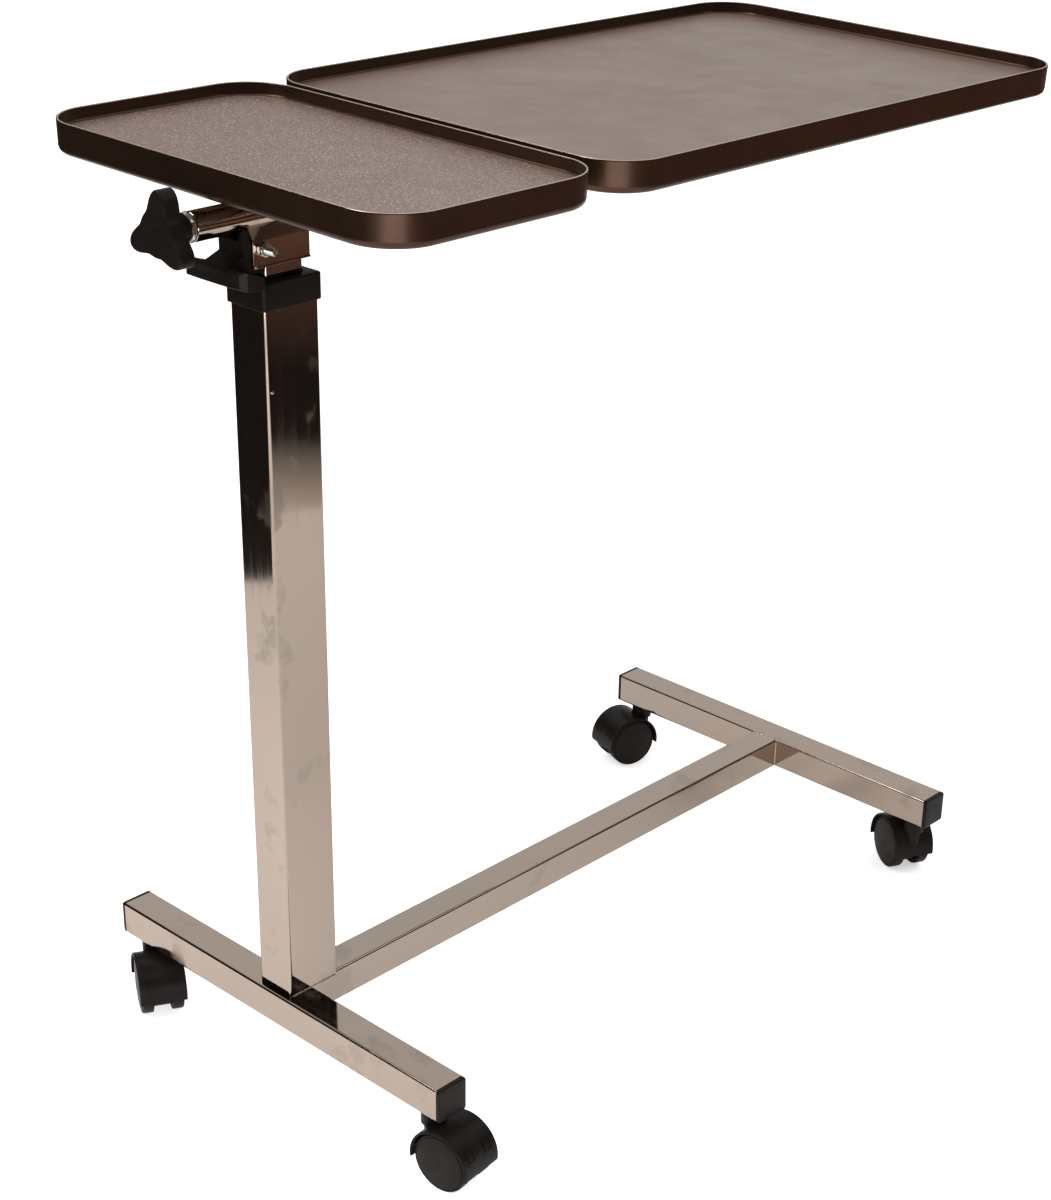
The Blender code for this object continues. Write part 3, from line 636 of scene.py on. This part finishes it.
def dimple():
    """The spot-welded pip on the column's broad side, below the collar."""
    low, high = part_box("column_tube")
    centre = (low[0] + 4.6 * MM, 0, high[2] - 77 * MM)
    y = low[1]
    profile = [(0, y - 0.55 * MM), (0.7 * MM, y - 0.5 * MM), (1.3 * MM, y - 0.25 * MM), (1.6 * MM, y),
               (1.6 * MM, y + 0.3 * MM), (0, y + 0.3 * MM)]
    piece("column_pip", [lathe("Y", centre, profile, 32)], "base", CHROME["Y"])


def collar():
    """Moulded guide collar: a skirt over the column's mouth and a liner down inside it."""
    low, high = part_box("column_collar")
    skirt_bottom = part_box("column_tube")[1][2] - 16.5 * MM
    skirt_top, top = high[2] - 3 * MM, high[2]
    outer, column_size, lift_size = map(flat_size, ("column_collar", "column_tube", "lift_tube"))
    corner, soft = 3.2 * MM, 0.4 * MM
    liner = -COLUMN_WALL - CLEARANCE

    def around(size, grow, radius, place):
        outline = rounded(size[0] + 2 * grow, size[1] + 2 * grow, radius)
        return placed("Z", outline, place, middle("column_collar"))

    rings = [
        around(column_size, CLEARANCE, 2.6 * MM, skirt_top),
        around(column_size, CLEARANCE, 2.6 * MM, skirt_bottom),
        around(outer, -soft, corner - soft, skirt_bottom),
        around(outer, 0, corner, skirt_bottom + 0.5 * MM),
        around(outer, 0, corner, top - 1.3 * MM),
        around(outer, -soft, corner - soft, top - soft),
        around(outer, -1.2 * MM, corner - 1.2 * MM, top),
        around(lift_size, 1.2 * MM, 2.8 * MM, top),
        around(lift_size, CLEARANCE, 2.2 * MM, top - 0.8 * MM),
        around(lift_size, CLEARANCE, 2.2 * MM, low[2]),
        around(column_size, liner, 1 * MM, low[2]),
        around(column_size, liner, 1 * MM, skirt_top),
    ]
    piece("collar", [loft(rings, True)], "base", BLACK, ["column_collar"], sharp=40)


def lift():
    """Inner chrome tube. The lever's tongue passes through a slot cut from its top on the knob's side."""
    low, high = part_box("lift_tube")
    size = flat_size("lift_tube")
    slot_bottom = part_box("release_pin")[1][2] - 0.7 * MM
    half_slot = 6 * MM

    def wall(inset):
        """One side of the wall, in order round the tube from one edge of the slot to the other."""
        edge = inset - size[0] / 2
        outline = sorted(shrunk(size, LIFT_CORNER, inset), key=lambda point: math.atan2(point[1], point[0]))
        kept = [point for point in outline if point[0] > 0 or abs(point[1]) > half_slot]
        return [(edge, -half_slot), *kept, (edge, half_slot)]

    lower = tube("Z", low, Vector((high[0], high[1], slot_bottom)), LIFT_CORNER, TUBE_WALL, chamfer=0.1 * MM)
    upper = prism("Z", wall(0) + wall(TUBE_WALL)[::-1], slot_bottom, high[2], (low + high) / 2)
    piece("lift_column", [lower, upper], "lift", CHROME["Z"], ["lift_tube"])


# ---------------------------------------------------------------- head


def bracket():
    """Folded saddle: side plates over the lift tube with a flared lower edge, slopes, and a cradle under the
    sleeve. Its outline starts at the axis of the sleeve."""
    low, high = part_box("head_bracket")
    centre = middle("tilt_sleeve")
    sheet, fold, flare = 2 * MM, 16 * MM, 1.3 * MM
    half = (high[1] - low[1]) / 2
    inner = half - sheet
    foot = low[2] - centre[2]
    cradle = radius_of("tilt_sleeve") + CLEARANCE
    top = arc((0, 0), cradle, -34, -146, 14)
    bottom = arc((0, 0), cradle + sheet, -122, -58, 10)
    slope = fillet([(half, foot), (half, -fold), top[0], (0, 0)], 2.6 * MM, 5)[5:-5]
    outside = [(half + flare, foot), (half + flare, foot + 0.3 * MM), (half, foot + 1.6 * MM), *slope]
    inside = [(inner - 1 * MM, -fold - 0.2 * MM), (inner, -fold - 1.4 * MM), (inner, foot)]
    outline = outside + top[1:-1] + mirrored(outside) + mirrored(inside) + bottom + inside
    skin = prism("X", outline, low[0], high[0], (0, centre[1], centre[2]))
    piece("saddle", [skin], "lift", CHROME["X"], ["head_bracket"], edges=(0.35 * MM, 3, 50))


def bolt_and_nut():
    """The lever's pivot: a bolt along Y with a threaded end, and its nut."""
    low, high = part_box("lever_bolt")
    nut_low, nut_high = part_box("lever_nut")
    centre = (nut_low + nut_high) / 2
    shank, pitch, flats = 3 * MM, 0.5 * MM, 10 * MM
    at = low[1] + 0.5 * MM
    profile = [(0, low[1]), (shank - 0.8 * MM, low[1]), (shank - 0.35 * MM, at)]
    while at < nut_high[1]:
        profile += [(shank - 0.02 * MM, at + pitch * 0.5), (shank - 0.3 * MM, at + pitch)]
        at += pitch
    head_start = high[1] - 4 * MM
    washer_r, washer_end = 5.6 * MM, head_start + 0.3 * MM
    profile += [(shank, at), (shank, head_start), (0, head_start)]
    washer = [(shank, head_start), (washer_r, head_start), (washer_r, washer_end), (shank, washer_end)]
    skins = [lathe("Y", centre, profile, 40), hexagon_nut("Y", centre, flats, head_start, high[1]),
             lathe("Y", centre, washer, 48, True)]
    piece("bolt", skins, "lift", ZINC, ["lever_bolt"])
    nut = hexagon_nut("Y", centre, flats, nut_low[1], nut_high[1], shank + 0.1 * MM)
    piece("nut", [nut], "lift", ZINC, ["lever_nut"])


def turned_tube(name, node, body):
    """A round tube along X that fills a CAD node's box."""
    low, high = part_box(node)
    outer = radius_of(node)
    inner, soft = outer - TUBE_WALL, 0.35 * MM
    start, end = low[0], high[0]
    profile = [(inner, start + soft), (inner + soft, start), (outer - soft, start), (outer, start + soft),
               (outer, end - soft), (outer - soft, end), (inner + soft, end), (inner, end - soft)]
    piece(name, [lathe("X", middle(node), profile, 72, True)], body, CHROME["X"], [node])


def end_hexagon():
    low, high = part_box("tilt_end_nut")
    flats = (high[1] - low[1]) * math.sqrt(3) / 2
    bore = radius_of("tilt_shaft") + 0.15 * MM
    skin = hexagon_nut("X", middle("tilt_end_nut"), flats, low[0], high[0], bore)
    piece("end_hexagon", [skin], "lift", ZINC, ["tilt_end_nut"])


def friction_washer():
    low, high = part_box("friction_washer")
    outer, soft = radius_of("friction_washer"), 0.5 * MM
    inner = radius_of("tilt_shaft") + CLEARANCE
    profile = [(inner, low[0]), (outer - soft, low[0]), (outer, low[0] + soft), (outer, high[0] - soft),
               (outer - soft, high[0]), (inner, high[0])]
    skin = lathe("X", middle("friction_washer"), profile, 64, True)
    piece("washer", [skin], "lift", ZINC, ["friction_washer"])


def tilt_cap():
    """Moulded cap on the tilt tube's far end, with a spigot inside the tube."""
    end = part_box("tilt_tube_cap")[1][0]
    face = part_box("tilt_tube")[1][0] + CLEARANCE
    radius = radius_of("tilt_tube_cap")
    spigot = radius - 1.8 * MM
    profile = [(0, face - 8 * MM), (spigot, face - 8 * MM), (spigot, face), (radius, face),
               (radius, end - 1 * MM), (radius - 0.3 * MM, end - 0.4 * MM), (radius - 1 * MM, end - 0.1 * MM),
               (radius - 2 * MM, end), (0, end)]
    skin = lathe("X", middle("tilt_tube_cap"), profile, 64)
    piece("tilt_cap", [skin], "tray_tilt", BLACK, ["tilt_tube_cap"])


def knob():
    """Three-lobed moulded knob: softly rounded rims, a faint ring on its face and a hub behind."""
    centre = middle("tilt_end_nut")
    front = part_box("tilt_knob")[0][0]
    back = front + KNOB_THICKNESS
    hub_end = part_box("tilt_end_nut")[0][0] - CLEARANCE
    hub_r, bore, back_rim, sides = KNOB_HUB_R, 4.4 * MM, 2 * MM, 144

    def lobes(inset, place):
        outline = []
        for step in range(sides):
            turn = 2 * math.pi * step / sides
            lobe = (1 + math.cos(3 * (turn - KNOB_TURN))) / 2
            radius = KNOB_WAIST + (KNOB_TIP - KNOB_WAIST) * lobe**2.5 - inset
            outline.append((radius * math.cos(turn), radius * math.sin(turn)))
        return placed("X", outline, place, centre)

    def disc(radius, place):
        return placed("X", circle(radius, sides), place, centre)

    rings = [disc(TINY, front + 0.25 * MM), disc(6 * MM, front + 0.25 * MM), disc(6.3 * MM, front + 0.5 * MM),
             disc(6.8 * MM, front + 0.2 * MM), lobes(KNOB_RIM + 3 * MM, front + 0.05 * MM),
             lobes(KNOB_RIM, front)]
    for step in range(1, 8):
        turn = math.radians(90 * step / 7)
        rings.append(lobes(KNOB_RIM * (1 - math.sin(turn)), front + KNOB_RIM * (1 - math.cos(turn))))
    rings.append(lobes(0, back - back_rim))
    for step in range(1, 5):
        turn = math.radians(90 * step / 4)
        rings.append(lobes(back_rim * (1 - math.cos(turn)), back - back_rim * (1 - math.sin(turn))))
    rings += [disc(hub_r + 1 * MM, back), disc(hub_r + 0.2 * MM, back + 0.8 * MM), disc(hub_r, back + 2 * MM),
              disc(hub_r, hub_end - 0.6 * MM), disc(hub_r - 0.6 * MM, hub_end), disc(bore, hub_end),
              disc(bore, back), disc(TINY, back)]
    piece("clamp_handle", [loft(rings)], "clamp_knob", BLACK, ["tilt_knob"], sharp=50)


def lever():
    """The CAD lever stays, with modifiers that round its edges."""
    node = frame["nodes"]["height_lever"]
    weld = node.modifiers.new("weld", "WELD")
    weld.merge_threshold = 0.005 * MM
    edges = node.modifiers.new("edges", "BEVEL")
    edges.width = 0.7 * MM
    edges.segments = 3
    edges.limit_method = "ANGLE"
    edges.angle_limit = math.radians(38)
    even = node.modifiers.new("even_normals", "WEIGHTED_NORMAL")
    even.keep_sharp = True


# ---------------------------------------------------------------- trays


def leaned():
    """The slight lean that both trays and their rails have about the tilt axis."""
    axis = middle("tilt_tube")
    return Matrix.Translation(axis) @ Matrix.Rotation(TRAY_LEAN, 4, "X") @ Matrix.Translation(-axis)


def upright_box(node):
    """A leaned node's lowest and highest corners as they would be without the lean."""
    thing = frame["nodes"][node]
    back = leaned().inverted() @ thing.matrix_world
    points = [back @ vertex.co for vertex in thing.data.vertices]
    return (Vector([min(point[axis] for point in points) for axis in range(3)]),
            Vector([max(point[axis] for point in points) for axis in range(3)]))


def tray(which, body):
    """A pan with a rolled lip: a turned lower edge, a near-upright wall and a fillet to a textured floor."""
    low, high = upright_box(f"{which}_tray")
    size = (high[0] - low[0], high[1] - low[1])
    top, bottom = high[2], low[2]
    floor_top = top - TRAY_DEPTH
    floor_under = floor_top - TRAY_FLOOR
    turned_edge, crest = 4.6 * MM, 0.95 * MM
    rings = [(9 * MM, floor_under), (6.8 * MM, floor_under - 0.4 * MM), (6.0 * MM, floor_under - 1.6 * MM),
             (5.8 * MM, bottom + 0.4 * MM), (5.3 * MM, bottom)]
    for step in range(7):
        turn = math.radians(90 * step / 6)
        rings.append((0.6 * MM + turned_edge * (1 - math.sin(turn)),
                      bottom + turned_edge * (1 - math.cos(turn))))
    rings += [(0.35 * MM, bottom + 5.2 * MM), (0.5 * MM, bottom + 5.7 * MM), (0.15 * MM, top - 4 * MM),
              (0, top - 1.2 * MM)]
    for step in range(1, 6):
        turn = math.radians(180 * step / 5)
        rings.append((crest * (1 - math.cos(turn)), top - crest * (1 - math.sin(turn))))
    rings += [(2.0 * MM, top - 2 * MM), (2.6 * MM, floor_top + 2.6 * MM), (2.8 * MM, floor_top + 1.5 * MM),
              (3.4 * MM, floor_top + 0.6 * MM), (4.2 * MM, floor_top + 0.15 * MM), (5.2 * MM, floor_top)]
    skin = nested("Z", size, TRAY_CORNER, rings, (low + high) / 2, 20)
    lean = leaned()
    made = piece(f"{which}_pan", [skin], body, RIM, [f"{which}_tray"], sharp=55, matrix=lean)
    made.data.materials.append(FLOORS[which])
    made.data.materials.append(LIP_HIGHLIGHT)
    upright = lean.inverted()
    for face in made.data.polygons:
        height = (upright @ face.center)[2]
        if abs(height - floor_top) < 0.12 * MM and face.normal[2] > 0.9:
            face.material_index = 1
        # The crest's faces take the paler metal of the painted highlight.
        elif height > top - 0.45 * MM:
            face.material_index = 2


def rail(node, body, tube_node):
    """Square cross rail under a tray, with the welds that hold it on the round tube."""
    low, high = upright_box(node)
    y, z = middle(tube_node)[1], low[2] - 0.2 * MM
    skins = [tube("Y", low, high, 1.8 * MM, 1.2 * MM)]
    for seed, x in enumerate((low[0], high[0])):
        skins.append(bead(between((x, y - 5 * MM, z), (x, y + 5 * MM, z), 1.3 * MM), 1.0 * MM, seed))
    piece(f"{node}_bar", skins, body, CHROME["Y"], [node], matrix=leaned())


def trays():
    tray("small", "lift")
    tray("large", "tray_tilt")
    for letter in "ab":
        rail(f"small_tray_rail_{letter}", "lift", "tilt_sleeve")
    for letter in "abc":
        rail(f"large_tray_rail_{letter}", "tray_tilt", "tilt_tube")


# ---------------------------------------------------------------- casters


def swept(offset, wheel_r, first, last, steps, section):
    """A skin about the wheels' axis, between two angles; section gives its (across, reach) pairs."""
    rings = []
    for step in range(steps + 1):
        turn = math.radians(first + (last - first) * step / steps)
        rings.append([(offset + reach * math.cos(turn), across, wheel_r + reach * math.sin(turn))
                      for across, reach in section])
    return loft(rings)


def hood_skins(offset, wheel_r, boss_top):
    """One hood in its own frame: stem on Z, wheels trailing along +X. A crowned shell with two raised frames,
    a web between the wheels and a stem boss."""
    first, last = HOOD_ENDS
    thick = HOOD_OUTER_R - HOOD_INNER_R
    shell = []
    for across, up in rounded(2 * HOOD_HALF_WIDTH, thick, 1.15 * MM, 5):
        crown = 0.5 * MM * (across / HOOD_HALF_WIDTH) ** 4 if up > 0 else 0
        shell.append((across, HOOD_INNER_R + thick / 2 + up - crown))
    axle = (offset, wheel_r)
    web = arc(axle, HOOD_OUTER_R - 1 * MM, first, last, 40) + arc(axle, HOOD_HUB_R, 200, 340, 24)
    boss = [(0, boss_top - 12 * MM), (10 * MM, boss_top - 12 * MM), (10 * MM, boss_top - 0.7 * MM),
            (9.3 * MM, boss_top), (5.6 * MM, boss_top), (5.6 * MM, boss_top - 3 * MM), (0, boss_top - 3 * MM)]
    tower = [(0, 31 * MM), (6.6 * MM, 31 * MM), (7.4 * MM, 31.8 * MM), (7.4 * MM, 56 * MM), (0, 56 * MM)]
    buried, proud = HOOD_OUTER_R - 1 * MM, HOOD_OUTER_R + 0.15 * MM

    def rib(start, end, left, right):
        """A low moulded rib on the shell's crown, between two angles and two distances across."""
        section = [(left, buried), (right, buried), (right, proud), (left, proud)]
        return swept(offset, wheel_r, start, end, 6, section)

    ribs = []
    for left, right in ((-14 * MM, -6 * MM), (6 * MM, 14 * MM)):
        ribs += [rib(18, 20.5, left, right), rib(37, 39.5, left, right), rib(18, 39.5, left, left + 1 * MM),
                 rib(18, 39.5, right - 1 * MM, right)]
    return [*ribs, swept(offset, wheel_r, first, last, 48, shell), prism("Y", web, -HOOD_WEB, HOOD_WEB),
            lathe("Z", (0, 0, 0), boss, 56), lathe("Z", (0, 0, 0), tower, 48)]


def wheel_profile(radius):
    """(radius, distance from the caster's middle): a domed disc with a hub ring, a groove, the tread and a
    recessed back."""
    inner, outer = WHEEL_INNER, WHEEL_OUTER
    hub, disc, shoulder, heel = 2.9 * MM, radius - 2.6 * MM, 1.6 * MM, 1 * MM
    profile = [(0, outer + 0.55 * MM), (2.2 * MM, outer + 0.53 * MM), (2.5 * MM, outer + 0.25 * MM),
               (hub, outer + 0.5 * MM)]
    for step in range(1, 9):
        reach = hub + (disc - hub) * step / 8
        profile.append((reach, outer + 0.5 * MM - 1.3 * MM * (reach / disc) ** 2.4))
    profile += [(disc + 0.25 * MM, outer - 1.5 * MM), (disc + 0.6 * MM, outer - 1.5 * MM),
                (disc + 0.8 * MM, outer - 1.0 * MM)]
    profile += arc((radius - shoulder, outer - 2.6 * MM), shoulder, 80, 0, 6)
    profile += arc((radius - heel, inner + 1.6 * MM), heel, 0, -90, 4)
    return profile + [(radius - 4 * MM, inner + 0.6 * MM), (radius - 5 * MM, inner + 5 * MM),
                      (9 * MM, inner + 5 * MM), (7 * MM, inner), (WHEEL_BORE_R, inner),
                      (WHEEL_BORE_R, inner + 3 * MM), (0, inner + 3 * MM)]


def caster(corner):
    """One swivel caster, turned as the CAD has it: hood, twin wheels, axle pin and stem."""
    stem, axle = middle(f"{corner}_caster_stem"), middle(f"{corner}_axle")
    trail = Vector((axle[0] - stem[0], axle[1] - stem[1]))
    yaw = math.atan2(trail[1], trail[0])
    place = Matrix.Translation((stem[0], stem[1], 0)) @ Matrix.Rotation(yaw, 4, "Z")
    hood_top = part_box(f"{corner}_caster_hood")[1][2]
    wheel_r = axle[2]
    swivel = f"{corner}_swivel"
    piece(f"{corner}_hood", hood_skins(trail.length, wheel_r, hood_top), swivel, BLACK,
          [f"{corner}_caster_hood"], sharp=40, matrix=place)
    centre = (trail.length, 0, wheel_r)
    for label, sign in (("a", 1), ("b", -1)):
        profile = [(reach, sign * far) for reach, far in wheel_profile(wheel_r)]
        piece(f"{corner}_twin_{label}", [lathe("Y", centre, profile, 80)], f"{corner}_wheel_{label}",
              TREAD, [f"{corner}_wheel_{label}"], sharp=28, matrix=place)
    half, pin_r, soft = 14.5 * MM, 3 * MM, 0.5 * MM
    profile = [(0, -half), (pin_r - soft, -half), (pin_r, soft - half), (pin_r, half - soft),
               (pin_r - soft, half), (0, half)]
    piece(f"{corner}_pin", [lathe("Y", centre, profile, 32)], swivel, ZINC, [f"{corner}_axle"],
          matrix=place)
    bottom, top = (end[2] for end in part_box(f"{corner}_caster_stem"))
    flange_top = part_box(f"{corner.split('_')[0]}_foot_bar")[0][2] - CLEARANCE
    flange_bottom = hood_top + CLEARANCE
    journal, flange, soft, tip = 5 * MM, 9 * MM, 0.4 * MM, 0.6 * MM
    profile = [(0, bottom), (journal - tip, bottom), (journal, bottom + tip), (journal, flange_bottom),
               (flange - soft, flange_bottom), (flange, flange_bottom + soft), (flange, flange_top - soft),
               (flange - soft, flange_top), (STUD_R, flange_top), (STUD_R, top - tip), (STUD_R - tip, top),
               (0, top)]
    piece(f"{corner}_stem", [lathe("Z", stem, profile, 56)], "base", ZINC,
          [f"{corner}_caster_stem"])


# ---------------------------------------------------------------- CAD nodes that stay


def dress_kept_nodes():
    """Materials for the CAD nodes that have no visual piece of their own."""
    looks = {"height_lever": BLACK, "lower_glide": GUIDE, "gas_cylinder": PAINT}
    hidden = ("gas_spring_foot", "rod_anchor", "gas_rod", "release_pin", "tilt_shaft", "knob_stud")
    looks.update({node: ZINC for node in hidden})
    looks.update({f"{corner}_stem_nut": ZINC for corner in CORNERS})
    for node, look in looks.items():
        mesh = frame["nodes"][node].data
        mesh.materials.clear()
        mesh.materials.append(look)


# ---------------------------------------------------------------- studio


def stage_plane(name, corners, look):
    mesh = bpy.data.meshes.new(name)
    mesh.from_pydata(corners, [], [tuple(range(len(corners)))])
    mesh.materials.append(look)
    thing = bpy.data.objects.new(name, mesh)
    bpy.context.scene.collection.objects.link(thing)
    return thing


def floor():
    signs = ((-1, -1), (1, -1), (1, 1), (-1, 1))
    stage_plane("floor", [(FLOOR_REACH * x, FLOOR_REACH * y, 0) for x, y in signs], paper())


def camera_ahead():
    """The level direction in which the camera looks."""
    turn = math.radians(CAMERA_TURN)
    return Vector((-math.sin(turn), math.cos(turn), 0))


def cards():
    """Cards along both sides of the paper, seen only as reflections in the chrome: dark on the left; on the
    right the paper curves up into the dark, with a warm brown room above."""
    ahead = camera_ahead()
    right = Vector((ahead[1], -ahead[0], 0))
    up = Vector((0, 0, CARD_HEIGHT))
    left_stops = ((0, CARD_DARK), (1, CARD_DARK))
    right_stops = ((0, CARD_PALE), (0.1, CARD_DARK), (0.2, CARD_DARK), (0.5, CARD_BROWN), (0.6, CARD_BROWN),
                   (0.68, CARD_DARK))
    for name, side, stops in (("left_card", -LEFT_CARD, left_stops), ("right_card", RIGHT_CARD, right_stops)):
        near, far = (right * side + ahead * place for place in (-CARD_REACH, CARD_REACH))
        plane = stage_plane(name, [near, far, far + up, near + up], card(f"{name}_look", stops))
        plane.visible_camera = False
        plane.visible_diffuse = False
        plane.visible_shadow = False
        plane.visible_transmission = False


def world():
    """White to the camera, an even dome to matt surfaces, a studio's bright and dark parts to glossy ones."""
    made = bpy.data.worlds.new("studio")
    bpy.context.scene.world = made
    made.use_nodes = True
    tree = made.node_tree
    tree.nodes.clear()
    direction = tree.nodes.new("ShaderNodeTexCoord").outputs["Generated"]

    def math_node(operation, first, second):
        node = tree.nodes.new("ShaderNodeMath")
        node.operation = operation
        for socket, value in zip(node.inputs, (first, second)):
            if isinstance(value, (int, float)):
                socket.default_value = value
            else:
                tree.links.new(value, socket)
        return node.outputs[0]

    def towards(vector, low, high):
        """0 to 1 as the direction's share along a vector goes from low to high."""
        dot = tree.nodes.new("ShaderNodeVectorMath")
        dot.operation = "DOT_PRODUCT"
        dot.inputs[1].default_value = vector
        tree.links.new(direction, dot.inputs[0])
        ramp = tree.nodes.new("ShaderNodeMapRange")
        ramp.interpolation_type = "SMOOTHSTEP"
        ramp.inputs["From Min"].default_value = low
        ramp.inputs["From Max"].default_value = high
        tree.links.new(dot.outputs["Value"], ramp.inputs["Value"])
        return ramp.outputs["Result"]

    def chosen(test, yes, no):
        """One value where the test is 1 and the other where it is 0."""
        others = math_node("MULTIPLY", math_node("SUBTRACT", 1.0, test), no)
        return math_node("ADD", math_node("MULTIPLY", test, yes), others)

    up = (0, 0, 1)
    dimmed = math_node("MULTIPLY", towards(DIM_PATCH, *DIM_EDGE), DIM_SHARE)
    undimmed = math_node("SUBTRACT", 1.0, dimmed)
    backdrop = math_node("MULTIPLY", towards(camera_ahead(), *BACKDROP_EDGE), undimmed)
    ceiling = math_node("MULTIPLY", towards(up, *CEILING_EDGE), CEILING_LIGHT)
    window = math_node("MULTIPLY", towards(Vector(WINDOW_TOWARDS).normalized(), *WINDOW_EDGE), WINDOW_LIGHT)
    brightest = math_node("MAXIMUM", math_node("MAXIMUM", backdrop, ceiling), window)
    glossy = math_node("ADD", brightest, GLOSSY_LEAST)
    diffuse = math_node("ADD", math_node("MULTIPLY", towards(up, *DOME_EDGE), DOME_LIGHT), DOME_LEAST)
    path = tree.nodes.new("ShaderNodeLightPath").outputs
    strength = chosen(path["Is Camera Ray"], STUDIO_WHITE, chosen(path["Is Diffuse Ray"], diffuse, glossy))
    background = tree.nodes.new("ShaderNodeBackground")
    tree.links.new(strength, background.inputs["Strength"])
    out = tree.nodes.new("ShaderNodeOutputWorld")
    tree.links.new(background.outputs[0], out.inputs["Surface"])


def area_light(name, place, target, size, power):
    data = bpy.data.lights.new(name, "AREA")
    data.shape = "RECTANGLE"
    data.size, data.size_y = size
    data.energy = power
    lamp = bpy.data.objects.new(name, data)
    bpy.context.scene.collection.objects.link(lamp)
    lamp.location = place
    lamp.rotation_euler = (Vector(target) - Vector(place)).to_track_quat("-Z", "Y").to_euler()


def lights():
    table_middle = (0, 0, 0.4)
    area_light("key", (-1.6, 0.9, 2.4), table_middle, (1.2, 1.2), KEY_WATTS)
    area_light("front", (-1.65, -1.6, 0.3), (-0.25, -0.15, 0.75), (1.5, 0.5), FRONT_WATTS)
    area_light("fill", (1.4, -1.6, 2.2), table_middle, (1.6, 1.6), FILL_WATTS)


def camera():
    data = bpy.data.cameras.new("camera")
    data.sensor_fit = "AUTO"
    data.sensor_width = 36
    data.lens = CAMERA_LENS
    data.shift_x, data.shift_y = CAMERA_SHIFT
    data.clip_end = 60
    made = bpy.data.objects.new("camera", data)
    bpy.context.scene.collection.objects.link(made)
    turn = Matrix.Rotation(math.radians(CAMERA_TURN), 4, "Z")
    tip = Matrix.Rotation(math.radians(90 - CAMERA_DOWN), 4, "X")
    roll = Matrix.Rotation(math.radians(CAMERA_ROLL), 4, "Z")
    made.matrix_world = Matrix.Translation(CAMERA_PLACE) @ turn @ tip @ roll
    bpy.context.scene.camera = made
    bpy.context.scene.view_settings.view_transform = "Standard"


def base():
    for place in ("near", "far"):
        foot_bar(place)
        for side in ("left", "right"):
            end_plug(place, side)
    beam()
    welds()


def head():
    bracket()
    bolt_and_nut()
    turned_tube("sleeve", "tilt_sleeve", "lift")
    turned_tube("tilt_bar", "tilt_tube", "tray_tilt")
    end_hexagon()
    friction_washer()
    tilt_cap()
    knob()
    lever()


base()
column()
dimple()
collar()
lift()
head()
trays()
for each_corner in CORNERS:
    caster(each_corner)
dress_kept_nodes()
floor()
cards()
world()
lights()
camera()
